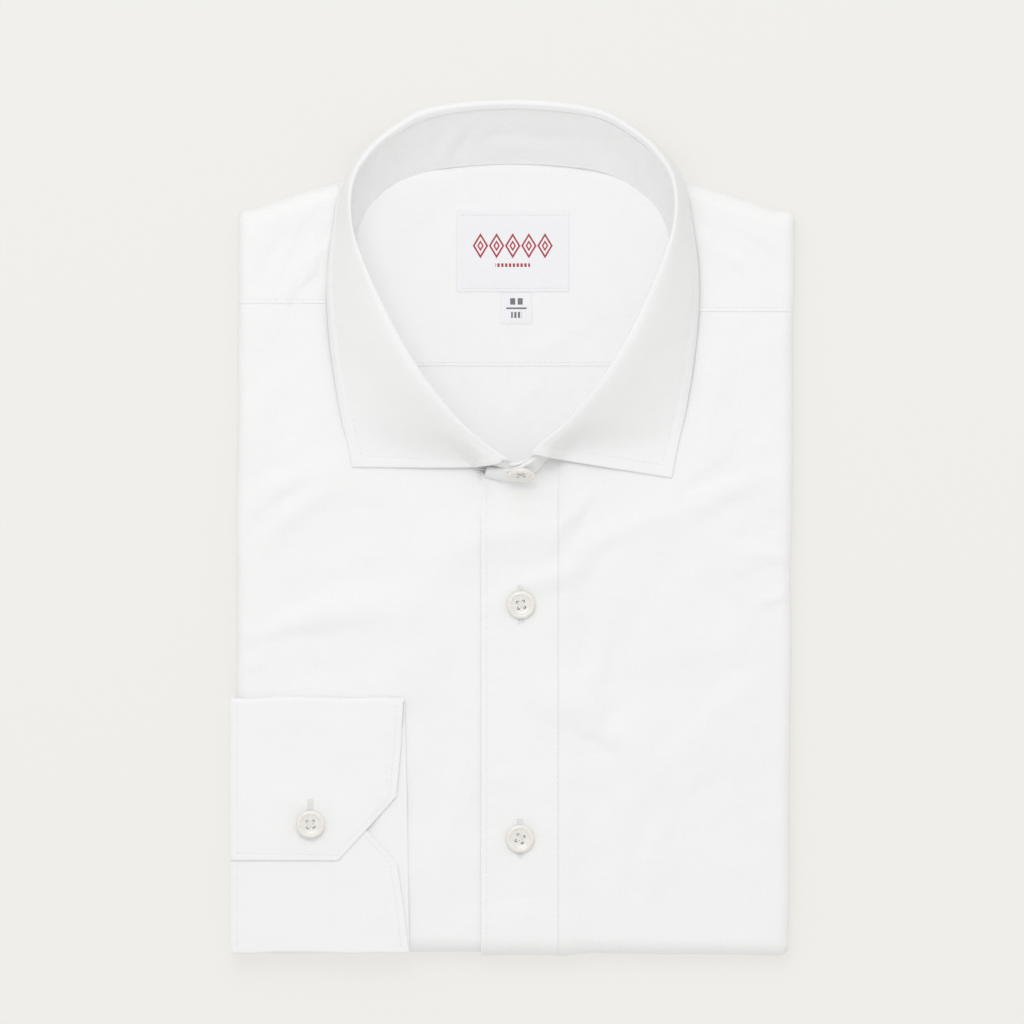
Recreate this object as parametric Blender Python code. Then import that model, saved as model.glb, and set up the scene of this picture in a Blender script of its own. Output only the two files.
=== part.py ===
"""Folded dress shirt: a buttoned cotton shirt in its retail fold, lying on its back.

+X is to the right of a person who looks down at the shirt with its collar away from them, +Y runs
to the collar, +Z is up. The origin is at the middle of the footprint, on the surface it lies on.
Sizes are in millimetres, and mesh_from turns them into metres.
"""

import math

import bmesh
import bpy
import numpy as np

MM = 0.001

# Outline of the folded body, at the outer face of the cloth
BOTTOM_EDGE_LEFT = -176.8
BOTTOM_EDGE_RIGHT = -178.0
SIDE_EDGE = {-1: (115.5, 114.0), 1: (114.6, 117.05)}  # half widths at the bottom fold and the shoulder
SHOULDER_Y = 130.0
FLAT_HALF_WIDTH = 109.0
COLLAR_FOOT_X = 68.0
NAPE_Y = 156.0
NAPE_FALL = 11.5
SHOULDER_SLOPE = 0.25
SHOULDER_CURVE = 0.0014

# Thickness of the stack of folded layers
EDGE_HEIGHT = 12.6
CROWN = 1.6
CROWN_HALF_WIDTH = 110.0
NECK_DISH_DEPTH = 4.0
NECK_DISH_RADIUS = 38.0
NECK_DISH_Y = 95.0

# Rounding of the folded edges: radius inside the cloth, and how far the cloth turns under
SIDE_RADIUS, SIDE_TURN = 3.6, 150.0
BOTTOM_RADIUS, BOTTOM_TURN = 6.0, 120.0
TOP_RADIUS, TOP_TURN = 5.5, 125.0
TURN_LENGTH = 12.0
TURN_STEPS = 4
CORNER_SHARPNESS = 0.12

# Edge of the lower folds, from the groove down to the underside: how far each point is set in from
# the outer face of the cloth and how high it is, at the sides and at the ends
LOWER_FOLD_COLUMNS = ("side_inset", "side_z", "end_inset", "end_z")
LOWER_FOLD = (
    (3.2, 4.2, 3.2, 2.4),
    (1.7, 3.7, 1.7, 1.9),
    (0.8, 2.9, 0.9, 1.4),
    (0.8, 1.0, 0.9, 0.8),
    (1.8, 0.0, 1.9, 0.0),
)
CORE_COLUMN_COUNT = 10
CORE_ROW_COUNT = 16

# Cloth
GAP = 0.3
PANEL = 1.2
PANEL_TOP = GAP + PANEL
PLACKET_BASE = PANEL_TOP + GAP
PLACKET_TOP = PLACKET_BASE + 1.3

# Placket, button band and seams
PLACKET_LEFT = -13.3
PLACKET_RIGHT = 19.0
BUTTON_BAND_RIGHT = 16.0
PLACKET_HEAD_Y = 16.8
PLACKET_RAMP = 26.0
PLACKET_FADE_Y, PLACKET_FADE = 4.0, 18.0
PLACKET_ROW_COUNT, PLACKET_COLUMN_COUNT = 18, 3
PLACKET_INSET = 1.3
PLACKET_INSET_WIDTH = 45.0
PLACKET_MIDDLE = (PLACKET_LEFT + PLACKET_RIGHT) / 2.0
YOKE_SEAM_Y = {-1: 93.0, 1: 89.6}
YOKE_LIFT = 0.2
YOKE_ROW_COUNT = 6
YOKE_COLUMN_COUNT = 5
NECK_POINT_Y = 136.0
SEAM_MARGIN = 0.5
INNER_YOKE_SEAM_Y = 67.0
INNER_YOKE_ROWS = (140.0, 144.5, 147.5, 149.3)  # closer together where the neckline turns
BACK_INSIDE_Y = 31.0
NECK_ROWS_START = {-1: 29.5, 1: 34.0}  # where a front's rows begin to follow the neckline
NECK_ROW_COUNT = 5
FRONT_ROW_COUNT = 12
FRONT_COLUMN_COUNT = {-1: 9, 1: 8}
FRONT_MIDDLE_X = 60.0
BOTTOM_SHIFT_REACH = 60.0
BAND_FADE = 14.0

# Largest soft folds of the fronts: middle, direction in degrees, half length, half width, height
FOLD_COLUMNS = ("x", "y", "angle", "length", "width", "height")
FOLDS = (
    (4.0, 8.0, 12.0, 26.0, 8.0, 0.8),
    (12.0, -22.0, 28.0, 24.0, 8.0, 0.8),
    (-70.0, -38.0, 14.0, 36.0, 9.0, 0.6),
    (-88.0, 18.0, 40.0, 20.0, 8.0, 0.6),
    (70.0, 12.0, 28.0, 26.0, 9.0, 0.6),
    (42.0, -85.0, -40.0, 24.0, 10.0, 0.6),
)

# Half of the collar, from the middle of the back to where the leaf ends in front: the seam on the
# neckline, the fold line, the outer edge of the fall, and how far the fall rolls out past its fold
COLLAR_COLUMNS = ("seam_x", "seam_y", "fold_x", "fold_y", "fold_z", "edge_x", "edge_y", "edge_z", "roll")
COLLAR_BACK = (0.0, 151.0, 0.0, 176.4, 36.0, 0.0, 173.5, 2.2, 2.0)
COLLAR_HALF = (
    (30.0, 149.0, 33.0, 173.2, 36.0, 34.0, 170.5, 2.6, 2.0),
    (45.0, 144.5, 50.2, 164.6, 36.0, 52.0, 163.0, 4.5, 1.6),
    (55.0, 138.0, 61.2, 154.4, 36.0, 64.0, 154.0, 8.0, 1.2),
    (62.0, 130.0, 67.0, 143.0, 36.0, 71.0, 141.5, 14.2, 0.6),
    (65.5, 118.0, 67.3, 127.0, 36.5, 74.5, 124.0, 16.3, 0.0),
    (63.0, 103.0, 62.0, 109.0, 38.0, 77.0, 104.0, 16.4, 0.0),
    (53.5, 81.0, 50.5, 83.5, 39.0, 76.5, 84.0, 16.4, 0.0),
    (41.0, 60.0, 37.5, 62.0, 37.6, 74.5, 66.0, 16.4, 0.0),
    (26.0, 40.0, 22.5, 44.0, 34.2, 71.5, 47.0, 16.4, 0.0),
    (14.0, 28.5, 11.0, 34.0, 31.3, 68.5, 34.0, 16.4, 0.0),
)
# Front ends of the two leaves
LEAF_END = {
    -1: (-2.0, 21.9, -2.0, 27.8, 30.0, -66.7, 25.0, 16.4, 0.0),
    1: (9.0, 23.2, 8.5, 30.0, 30.0, 66.0, 20.5, 16.4, 0.0),
}
# Ends of the stand past the leaves, under and over each other: seam, top edge and its height
BAND_COLUMNS = ("seam_x", "seam_y", "fold_x", "fold_y", "fold_z")
UNDER_BAND = ((6.0, 22.8, 5.0, 29.0, 28.5), (13.0, 27.2, 11.5, 32.4, 25.0))
OVER_BAND = ((0.0, 19.2, 0.0, 25.6, 28.8), (-12.0, 21.5, -10.5, 26.0, 24.0))
STAND_LIFT = PANEL_TOP + 0.5
STAND = 1.2
FALL = 1.2
FOLD_CAP = 1.2
LEAF_RISE = 0.35
LEAF_SHOULDER_DROP = 4.0
LEAF_END_DROP, LEAF_END_REACH = 13.0, 45.0  # the leaves sink towards their front ends
COLLAR_STEPS = 2
FALL_ROWS = 5
STAND_ROWS = 2

# Cuff: a flattened loop, as rows along its cloth from the under end to the over end
CUFF_COLUMNS = ("y", "height", "right_x")
CUFF_LEFT_X = -115.3
CUFF_LEVELS = (2.7, 4.2, 5.7)  # middle of the back half, the under end and the over end
CUFF = 1.2
CUFF_ROWS = (
    (-112.5, CUFF_LEVELS[1], -73.0),
    (-126.0, CUFF_LEVELS[1], -60.2),
    (-139.0, CUFF_LEVELS[1], -48.2),
    (-158.0, CUFF_LEVELS[1], -45.2),
    (-175.4, CUFF_LEVELS[1], -43.2),
    (-176.1, 3.45, -43.1),
    (-175.4, CUFF_LEVELS[0], -43.0),
    (-150.0, CUFF_LEVELS[0], -43.3),
    (-125.0, CUFF_LEVELS[0], -43.7),
    (-98.0, CUFF_LEVELS[0], -44.2),
    (-72.4, CUFF_LEVELS[0], -44.8),
    (-71.2, 3.3, -45.0),
    (-70.9, 4.2, -45.1),
    (-71.2, 5.1, -45.3),
    (-72.4, CUFF_LEVELS[2], -45.5),
    (-92.0, CUFF_LEVELS[2], -46.5),
    (-111.6, CUFF_LEVELS[2], -48.3),
    (-125.0, CUFF_LEVELS[2], -60.4),
    (-138.2, CUFF_LEVELS[2], -72.6),
)
CUFF_COLUMN_COUNT = 6

# Sleeve where it comes round the side to the cuff: a profile from the cuff to the surface
SLEEVE_COLUMNS = ("x", "z")
SLEEVE_PROFILE = (
    (-116.2, 17.7),
    (-116.45, 16.2),
    (-116.5, 13.0),
    (-116.55, 9.0),
    (-116.5, 5.0),
    (-116.4, 0.9),
)
SLEEVE = 1.2
SLEEVE_TOP_Y = -72.5
SLEEVE_BOTTOM_Y = -174.5

# Buttons
BUTTON_PROFILE = ((4.6, 0.0), (5.8, 0.9), (5.7, 1.6), (5.0, 2.2), (3.6, 1.6))
BUTTON_CENTRE_Z = 1.5
BUTTON_SIDES = 16
HOLE_RADIUS = 0.6
HOLE_SPACING = 1.35
HOLE_SIDES = 6
CHEST_BUTTON = (3.3, -32.0)
BELLY_BUTTON = (2.9, -129.0)
CUFF_BUTTON = (-84.0, -123.0)
COLLAR_BUTTON_X = 3.3
COLLAR_BUTTON_SHARE = 0.45
COLLAR_BUTTON_SHANK = 1.8

# Labels on the inner yoke
LABEL = 1.0
BRAND_LABEL = (-23.4, 23.2, 97.8, 131.3)
SIZE_TAB = (-5.0, 7.9, 84.5, 97.5)


def named(columns, row):
    return dict(zip(columns, row))


def mix(a, b, t):
    return a + (b - a) * t


def ease(t):
    t = np.clip(t, 0.0, 1.0)
    return t * t * (3.0 - 2.0 * t)


def side_edge(side, y):
    low, high = SIDE_EDGE[side]
    return mix(low, high, (y - BOTTOM_EDGE_LEFT) / (SHOULDER_Y - BOTTOM_EDGE_LEFT))


def bottom_edge(x):
    """The bottom fold, set in under the placket so that the thicker cloth there keeps in line."""
    inset = PLACKET_INSET * np.exp(-(((x - PLACKET_MIDDLE) / PLACKET_INSET_WIDTH) ** 2))
    return mix(BOTTOM_EDGE_LEFT, BOTTOM_EDGE_RIGHT, (x + 115.0) / 230.0) + inset


def top_edge(x):
    """The shoulder line on each side, and the line across the nape that the collar hides."""
    reach = np.abs(x)
    past = np.maximum(reach - COLLAR_FOOT_X, 0.0)
    nape = NAPE_Y - NAPE_FALL * (np.minimum(reach, COLLAR_FOOT_X) / COLLAR_FOOT_X) ** 2
    return nape - SHOULDER_SLOPE * past - SHOULDER_CURVE * past**2


def core_top(x, y):
    """Height of the folded layers under the cloth that shows: a low crown, dished inside the neck."""
    dish = np.exp(-(x**2 + (y - NECK_DISH_Y) ** 2) / (2.0 * NECK_DISH_RADIUS**2))
    return EDGE_HEIGHT + CROWN * (1.0 - (x / CROWN_HALF_WIDTH) ** 2) - NECK_DISH_DEPTH * dish


def folds(x, y):
    """Height that the soft folds of the fronts add."""
    height = np.zeros_like(x)
    for row in FOLDS:
        fold = named(FOLD_COLUMNS, row)
        angle = math.radians(fold["angle"])
        along = (x - fold["x"]) * math.cos(angle) + (y - fold["y"]) * math.sin(angle)
        across = (y - fold["y"]) * math.cos(angle) - (x - fold["x"]) * math.sin(angle)
        height += fold["height"] * np.exp(-((along / fold["length"]) ** 2) - (across / fold["width"]) ** 2)
    return height


def limits(x, y):
    """The place on the flat top nearest to (x, y), where the rounding of the edges begins."""
    near_x = np.clip(x, -FLAT_HALF_WIDTH, FLAT_HALF_WIDTH)
    low = bottom_edge(near_x) + BOTTOM_RADIUS + PANEL_TOP
    high = top_edge(near_x) - TOP_RADIUS - PANEL_TOP
    cy = np.clip(y, low, high)
    left = -side_edge(-1, cy) + SIDE_RADIUS + PANEL_TOP
    right = side_edge(1, cy) - SIDE_RADIUS - PANEL_TOP
    return np.clip(x, left, right), cy


def edge_frame(x, y):
    """For a place past the flat top: its nearest place there, its way out, and that edge's rounding."""
    cx, cy = limits(x, y)
    ax, ay = x - cx, y - cy
    reach = np.maximum(np.abs(ax), np.abs(ay))
    safe = np.where(reach > 0.0, reach, 1.0)
    share_x, share_y = np.abs(ax) / safe, np.abs(ay) / safe
    bearing = np.where(share_x >= share_y, share_y / 2.0, 1.0 - share_x / 2.0)
    theta = bearing * math.pi / 2.0
    sharp = 1.0 + CORNER_SHARPNESS * np.sin(2.0 * theta) ** 2
    out_x = np.sign(ax) * np.cos(theta) * sharp
    out_y = np.sign(ay) * np.sin(theta) * sharp
    end_radius = np.where(ay < 0.0, BOTTOM_RADIUS, TOP_RADIUS)
    end_turn = np.where(ay < 0.0, BOTTOM_TURN, TOP_TURN)
    blend = ease(bearing)
    radius = mix(SIDE_RADIUS, end_radius, blend)
    turn = mix(SIDE_TURN, end_turn, blend)
    return cx, cy, out_x, out_y, reach, radius, turn, blend


def shape(x, y, height):
    """The point at this height over the folded layers, for a place on the cloth laid flat.

    Past the flat top the cloth turns round the edge, by TURN_LENGTH of cloth for a whole turn.
    """
    x, y = np.broadcast_arrays(np.asarray(x, float), np.asarray(y, float))
    cx, cy, out_x, out_y, reach, radius, turn, _ = edge_frame(x, y)
    angle = np.radians(turn) * reach / TURN_LENGTH
    arm = (radius + height) * np.sin(angle)
    z = core_top(cx, cy) - radius + (radius + height) * np.cos(angle)
    return np.stack([cx + out_x * arm, cy + out_y * arm, z], axis=-1)


def smooth_through(rows, steps):
    """Catmull-Rom curve through the rows, with this many steps from each row to the next."""
    rows = np.asarray(rows, float)
    padded = np.vstack([2.0 * rows[0] - rows[1], rows, 2.0 * rows[-1] - rows[-2]])
    found = []
    for before, start, end, after in zip(padded, padded[1:], padded[2:], padded[3:]):
        for step in range(steps):
            t = step / steps
            found.append(
                0.5
                * (
                    2.0 * start
                    + (end - before) * t
                    + (2.0 * before - 5.0 * start + 4.0 * end - after) * t**2
                    + (3.0 * start - before - 3.0 * end + after) * t**3
                )
            )
    found.append(rows[-1])
    return np.array(found)


def remove_all():
    for ob in list(bpy.data.objects):
        bpy.data.objects.remove(ob, do_unlink=True)


def finish_for(name, colour, roughness):
    material = bpy.data.materials.new(name)
    material.use_nodes = True
    shader = material.node_tree.nodes["Principled BSDF"]
    shader.inputs["Base Color"].default_value = (*colour, 1.0)
    shader.inputs["Roughness"].default_value = roughness
    shader.inputs["Metallic"].default_value = 0.0
    return material


def mesh_from(name, points, faces, colour, roughness):
    mesh = bpy.data.meshes.new(name)
    mesh.from_pydata([tuple(float(c) * MM for c in p) for p in points], [], faces)
    work = bmesh.new()
    work.from_mesh(mesh)
    bmesh.ops.recalc_face_normals(work, faces=work.faces)
    work.to_mesh(mesh)
    work.free()
    mesh.shade_smooth()
    mesh.set_sharp_from_angle(angle=math.radians(40.0))
    mesh.materials.append(finish_for(name + "_finish", colour, roughness))
    ob = bpy.data.objects.new(name, mesh)
    bpy.context.scene.collection.objects.link(ob)
    return ob


COTTON = (0.9, 0.9, 0.905)
COLLAR_COTTON = (0.87, 0.87, 0.88)
LABEL_WHITE = (0.9, 0.91, 0.93)
PEARL = (0.77, 0.74, 0.67)
CLOTH_ROUGHNESS = 0.85
PEARL_ROUGHNESS = 0.25


def grid_triangles(rows, columns, start, turned):
    """Two triangles for each cell of a grid of points."""
    faces = []
    for i in range(rows - 1):
        for j in range(columns - 1):
            a = start + i * columns + j
            b, c, d = a + 1, a + columns + 1, a + columns
            pair = [(a, b, c), (a, c, d)]
            faces += [f[::-1] for f in pair] if turned else pair
    return faces


def border(rows, columns):
    """The grid's outer points in order, once round."""
    first = [j for j in range(columns)]
    right = [i * columns + columns - 1 for i in range(1, rows)]
    last = [(rows - 1) * columns + j for j in range(columns - 2, -1, -1)]
    left = [i * columns for i in range(rows - 2, 0, -1)]
    return first + right + last + left


def slab(name, upper, lower, colour=COTTON, roughness=CLOTH_ROUGHNESS):
    """A closed wall between two grids of points."""
    rows, columns = upper.shape[:2]
    count = rows * columns
    faces = grid_triangles(rows, columns, 0, False) + grid_triangles(rows, columns, count, True)
    ring = border(rows, columns)
    for a, b in zip(ring, ring[1:] + ring[:1]):
        faces += [(b, a, a + count), (b, a + count, b + count)]
    points = np.vstack([upper.reshape(-1, 3), lower.reshape(-1, 3)])
    return mesh_from(name, points, faces, colour, roughness)


def panel_slab(name, x, y, low, high, colour=COTTON):
    """A wall of cloth on the folded body, between two heights over it, its columns from left to right."""
    upper, lower = shape(x, y, high), shape(x, y, low)
    if x[0, 0] > x[0, -1]:
        upper, lower = upper[:, ::-1], lower[:, ::-1]
    return slab(name, upper, lower, colour)


def wall(name, middle, thickness, colour=COTTON):
    """A wall of even thickness about a grid of points."""
    along = np.gradient(middle, axis=1)
    across = np.gradient(middle, axis=0)
    normal = np.cross(along, across)
    normal /= np.linalg.norm(normal, axis=-1, keepdims=True)
    return slab(name, middle + normal * thickness / 2.0, middle - normal * thickness / 2.0, colour)


def steps(start, end, count):
    """Evenly spaced values, both ends included."""
    return np.linspace(start, end, count + 1)


def turn_steps(count):
    """How far past the flat top each row of a turned edge lies, outermost first."""
    return TURN_LENGTH * steps(1.0, 0.0, count)[:-1]


def core_grid():
    """Places of the core's grid: even over the flat top, and then round every edge."""
    turns = turn_steps(TURN_STEPS)
    share_x, share_y = steps(0.0, 1.0, CORE_COLUMN_COUNT), steps(0.0, 1.0, CORE_ROW_COUNT)
    past = np.concatenate([-turns, np.zeros(len(share_y)), turns[::-1]])[:, None]
    along = np.concatenate([np.zeros(len(turns)), share_y, np.ones(len(turns))])[:, None]
    middle = np.zeros_like(along)
    middle_y = mix(bottom_limit(middle), top_limit(middle), along)
    left, right = side_limit(-1, middle_y), side_limit(1, middle_y)
    x = np.hstack([left - turns, mix(left, right, share_x), right + turns[::-1]])
    return x, mix(bottom_limit(x), top_limit(x), along) + past


def folded_layers():
    """The hidden layers as one rounded solid, with a groove between the upper and the lower folds."""
    x, y = core_grid()
    rows, columns = x.shape
    points = list(shape(x, y, 0.0).reshape(-1, 3))
    faces = grid_triangles(rows, columns, 0, False)
    ring = border(rows, columns)
    rim_x, rim_y = x.reshape(-1)[ring], y.reshape(-1)[ring]
    cx, cy, out_x, out_y, _, radius, _, at_end = edge_frame(rim_x, rim_y)
    before = ring
    for row in LOWER_FOLD:
        part = named(LOWER_FOLD_COLUMNS, row)
        arm = radius + PANEL_TOP - mix(part["side_inset"], part["end_inset"], at_end)
        z = mix(part["side_z"], part["end_z"], at_end)
        start = len(points)
        points += list(np.stack([cx + out_x * arm, cy + out_y * arm, z], axis=-1))
        now = list(range(start, start + len(ring)))
        for k in range(len(ring)):
            n = (k + 1) % len(ring)
            faces += [(before[n], before[k], now[k]), (before[n], now[k], now[n])]
        before = now
    faces.append(tuple(before))
    return mesh_from("folded_layers", points, faces, COTTON, CLOTH_ROUGHNESS)


def neck_curve():
    """The neckline seam from the picture's left front, round the back, to the right front."""
    half = [row[:2] for row in COLLAR_HALF]
    left = [(-x, y) for x, y in half[::-1]]
    return smooth_through(left + [COLLAR_BACK[:2]] + half, 6)


def neck_reach(y):
    """Half width of the neckline at this y, in front of its widest place."""
    curve = neck_curve()
    front = curve[curve[:, 0] > 0.0]
    front = front[np.argmax(front[:, 0]) :][::-1]
    return np.interp(y, front[:, 1], front[:, 0])


def back_neck_reach(y):
    """Half width of the neckline at this y, behind its widest place."""
    curve = neck_curve()
    back = curve[curve[:, 0] >= 0.0]
    back = back[: np.argmax(back[:, 0]) + 1][::-1]
    return np.interp(y, back[:, 1], back[:, 0])


def side_limit(side, y):
    """Where the flat top ends on this side."""
    return limits(np.full_like(y, side * 200.0), y)[0]


def bottom_limit(x):
    return limits(x, np.full_like(x, -300.0))[1]


def top_limit(x):
    return limits(x, np.full_like(x, 300.0))[1]


def grid_of_rows(outer_x, inner_x, outer_y, inner_y, turns_out, columns):
    """Rows of cloth from a side fold in to the front edge; outer_x is where the fold begins."""
    share = steps(0.0, 1.0, columns)
    flat_x = mix(outer_x[:, None], inner_x[:, None], share)
    flat_y = mix(outer_y[:, None], inner_y[:, None], share)
    side = np.sign(outer_x[:1])
    past_x = outer_x[:, None] + side * turns_out
    past_y = np.repeat(outer_y[:, None], len(turns_out), axis=1)
    return np.hstack([past_x, flat_x]), np.hstack([past_y, flat_y])


def front_rows(side, inner_edge, neck_ys, top_y):
    """Outer and inner ends of a front's rows, from the bottom fold to the yoke seam."""
    turns = turn_steps(TURN_STEPS)
    straight = steps(0.0, 1.0, FRONT_ROW_COUNT)
    low = bottom_limit(np.array([side * FRONT_MIDDLE_X]))[0]
    ys = np.concatenate([low - turns, mix(low, PLACKET_HEAD_Y - SEAM_MARGIN, straight)])
    inner_x = np.full_like(ys, inner_edge)
    neck_x = side * (neck_reach(neck_ys) + SEAM_MARGIN)
    if side > 0:
        neck_x = np.maximum(neck_x, inner_edge)
    spread = steps(0.0, 1.0, len(neck_ys))[1:]
    outer_y = np.concatenate([ys, mix(ys[-1], top_y, spread)])
    inner_y = np.concatenate([ys, neck_ys])
    inner_x = np.concatenate([inner_x, neck_x])
    outer_x = side_limit(side, np.maximum(outer_y, low))
    return outer_x, inner_x, outer_y, inner_y


def along_bottom(x, y):
    """Shifts the lowest rows of a front so that each keeps its distance from the bottom fold."""
    low = y[len(turn_steps(TURN_STEPS))][:1]
    near = 1.0 - np.clip((y - low) / BOTTOM_SHIFT_REACH, 0.0, 1.0)
    return x, y + (bottom_limit(x) - low) * near


def front_grid(side, inner_edge):
    """Places of a front's grid, from its side fold in to its front edge and its neckline."""
    top_y = YOKE_SEAM_Y[side] - GAP / 2.0
    neck_ys = steps(NECK_ROWS_START[side], top_y, NECK_ROW_COUNT)
    ends = front_rows(side, inner_edge, neck_ys, top_y)
    return along_bottom(*grid_of_rows(*ends, turn_steps(TURN_STEPS), FRONT_COLUMN_COUNT[side]))


def front_right():
    """The wearer's right front; its button band runs on under the placket."""
    x, y = front_grid(-1, BUTTON_BAND_RIGHT)
    lift = folds(x, y) * ease((PLACKET_LEFT - x) / BAND_FADE)
    return panel_slab("front_right", x, y, GAP + lift, PANEL_TOP + lift)


def front_left():
    """The wearer's left front, which meets the placket at its stitched edge."""
    x, y = front_grid(1, PLACKET_RIGHT + GAP)
    past_head = ease((y - PLACKET_FADE_Y) / PLACKET_FADE)
    ramp = (1.0 - ease((x - PLACKET_RIGHT) / PLACKET_RAMP)) * (1.0 - past_head)
    lift = folds(x, y) + (PLACKET_BASE - GAP) * ramp
    return panel_slab("front_left", x, y, GAP + lift, PANEL_TOP + lift)


def placket():
    """The buttonhole band, from the bottom fold to the collar stand."""
    low = bottom_limit(np.array([PLACKET_MIDDLE]))[0]
    straight = mix(low, PLACKET_HEAD_Y, steps(0.0, 1.0, PLACKET_ROW_COUNT))
    ys = np.concatenate([low - turn_steps(TURN_STEPS), straight])
    x, y = np.meshgrid(steps(PLACKET_LEFT, PLACKET_RIGHT, PLACKET_COLUMN_COUNT), ys)
    lift = folds(x, y)
    return panel_slab("placket", x, y, PLACKET_BASE + lift, PLACKET_TOP + lift)


def yoke(name, side):
    """The outer yoke over one shoulder, from the front seam round the shoulder fold."""
    seam_y = YOKE_SEAM_Y[side] + GAP / 2.0
    turns = turn_steps(TURN_STEPS)
    share = steps(0.0, 1.0, YOKE_ROW_COUNT)
    past = np.concatenate([np.zeros(len(share)), turns[::-1]])[:, None]
    along = np.concatenate([share, np.ones(len(turns))])[:, None]
    inner_x = side * (neck_side(mix(seam_y, NECK_POINT_Y, along)) + SEAM_MARGIN)
    outer_x = side_limit(side, mix(seam_y, top_limit(np.full((1, 1), side * FLAT_HALF_WIDTH)), along))
    flat_x = mix(outer_x, inner_x, steps(0.0, 1.0, YOKE_COLUMN_COUNT))
    x = np.hstack([outer_x + side * turns, flat_x])
    y = mix(seam_y, top_limit(x), along) + past
    return panel_slab(name, x, y, GAP + YOKE_LIFT, PANEL_TOP + YOKE_LIFT)


def neck_side(y):
    """Half width of the neckline at this y, on either side of its widest place."""
    curve = neck_curve()
    widest = curve[np.argmax(curve[:, 0])]
    return np.where(y < widest[1], neck_reach(y), back_neck_reach(y))


def inner_yoke():
    """The inside of the yoke between the neckline and the yoke seam."""
    ys = np.concatenate([steps(INNER_YOKE_SEAM_Y + GAP / 2.0, INNER_YOKE_ROWS[0], 7), INNER_YOKE_ROWS[1:]])
    reach = neck_side(ys) - SEAM_MARGIN
    share = steps(-1.0, 1.0, 8)
    x = reach[:, None] * share
    y = np.repeat(ys[:, None], len(share), axis=1)
    return panel_slab("inner_yoke", x, y, GAP, PANEL_TOP)


def back_inside():
    """The inside of the back below the yoke seam, in the V of the fronts."""
    ys = steps(BACK_INSIDE_Y, INNER_YOKE_SEAM_Y - GAP / 2.0, 4)
    reach = neck_reach(ys) - SEAM_MARGIN
    share = steps(-1.0, 1.0, 6)
    x = reach[:, None] * share
    y = np.repeat(ys[:, None], len(share), axis=1)
    return panel_slab("back_inside", x, y, GAP, PANEL_TOP, COLLAR_COTTON)


def mirrored(row):
    flipped = list(row)
    for index in (0, 2, 5):
        flipped[index] = -flipped[index]
    return flipped


def collar_stations():
    """The collar's sections from the left leaf's front end, round the back, to the right one's."""
    left = [LEAF_END[-1]] + [mirrored(row) for row in COLLAR_HALF[::-1]]
    return np.array(left + [COLLAR_BACK] + list(COLLAR_HALF) + [LEAF_END[1]])


def way_out(places):
    """Unit vectors across a plan curve that runs clockwise round the neck, pointing away from it."""
    ahead = np.gradient(places, axis=0)
    out = np.stack([-ahead[:, 1], ahead[:, 0]], axis=-1)
    return out / np.linalg.norm(out, axis=-1, keepdims=True)


def collar_stand():
    """The collar band: its ends pass each other at the collar button."""
    body = collar_stations()[:, :5]
    rows = np.vstack([np.array(UNDER_BAND)[::-1], body, np.array(OVER_BAND)])
    sections = smooth_through(rows, COLLAR_STEPS)
    seam_z = core_top(sections[:, 0], sections[:, 1]) + STAND_LIFT
    foot = np.column_stack([sections[:, :2], seam_z])
    inward = -way_out(sections[:, 2:4])
    top = sections[:, 2:5].copy()
    top[:, :2] += inward * FOLD_CAP / 2.0
    top[:, 2] -= (FALL + STAND) / 2.0 + GAP
    share = steps(0.0, 1.0, STAND_ROWS)[:, None, None]
    return wall("collar_stand", mix(foot[None], top[None], share), STAND, COLLAR_COTTON)


def collar_fall():
    """The turned-down collar with its two leaves, from the fold line to its outer edge."""
    sections = smooth_through(collar_stations(), COLLAR_STEPS)
    fold, edge, roll = sections[:, 2:5], sections[:, 5:8], sections[:, 8]
    out = way_out(fold[:, :2])
    cap = fold.copy()
    cap[:, :2] -= out * FOLD_CAP
    shoulder = fold.copy()
    shoulder[:, :2] += (edge - fold)[:, :2] * LEAF_RISE + out * roll[:, None] * 2.0
    run = np.concatenate([[0.0], np.cumsum(np.linalg.norm(np.diff(fold, axis=0), axis=-1))])
    from_end = np.minimum(run, run[-1] - run)
    shoulder[:, 2] -= mix(LEAF_END_DROP, LEAF_SHOULDER_DROP, ease(from_end / LEAF_END_REACH))
    rows = [cap]
    for t in steps(0.0, 1.0, FALL_ROWS):
        rows.append((1.0 - t) ** 2 * fold + 2.0 * t * (1.0 - t) * shoulder + t**2 * edge)
    return wall("collar_fall", np.array(rows)[::-1], FALL, COLLAR_COTTON)


def on_top(x, y, height):
    """The point at this height over the body's flat top, kept straight past its rounded edges."""
    cx, cy = limits(x, y)
    return np.stack([x, y, core_top(cx, cy) + height], axis=-1)


def cuff():
    """The barrel cuff: a flattened loop whose mitred ends pass each other at the cuff button."""
    rows = np.array(CUFF_ROWS)
    share = steps(0.0, 1.0, CUFF_COLUMN_COUNT)
    x = mix(CUFF_LEFT_X, rows[:, 2:3], share)
    y = np.repeat(rows[:, :1], len(share), axis=1)
    height = np.repeat(rows[:, 1:2], len(share), axis=1)
    return wall("cuff", on_top(x, y, height), CUFF)


def sleeve_wrap():
    """The right sleeve where it comes round the side, from the cuff down to the surface."""
    profile = np.array(SLEEVE_PROFILE)
    ys = steps(SLEEVE_TOP_Y, SLEEVE_BOTTOM_Y, 8)
    x = np.repeat(profile[:, :1], len(ys), axis=1)
    z = np.repeat(profile[:, 1:2], len(ys), axis=1)
    y = np.repeat(ys[None], len(profile), axis=0)
    return wall("sleeve_wrap", np.stack([x, y, z], axis=-1), SLEEVE)


def label(name, sizes):
    """A woven label that lies on the inner yoke."""
    left, right, low, high = sizes
    x, y = np.meshgrid(steps(left, right, 4), steps(low, high, 3))
    base = PANEL_TOP + GAP
    return slab(name, shape(x, y, base + LABEL), shape(x, y, base), LABEL_WHITE, CLOTH_ROUGHNESS)


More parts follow.
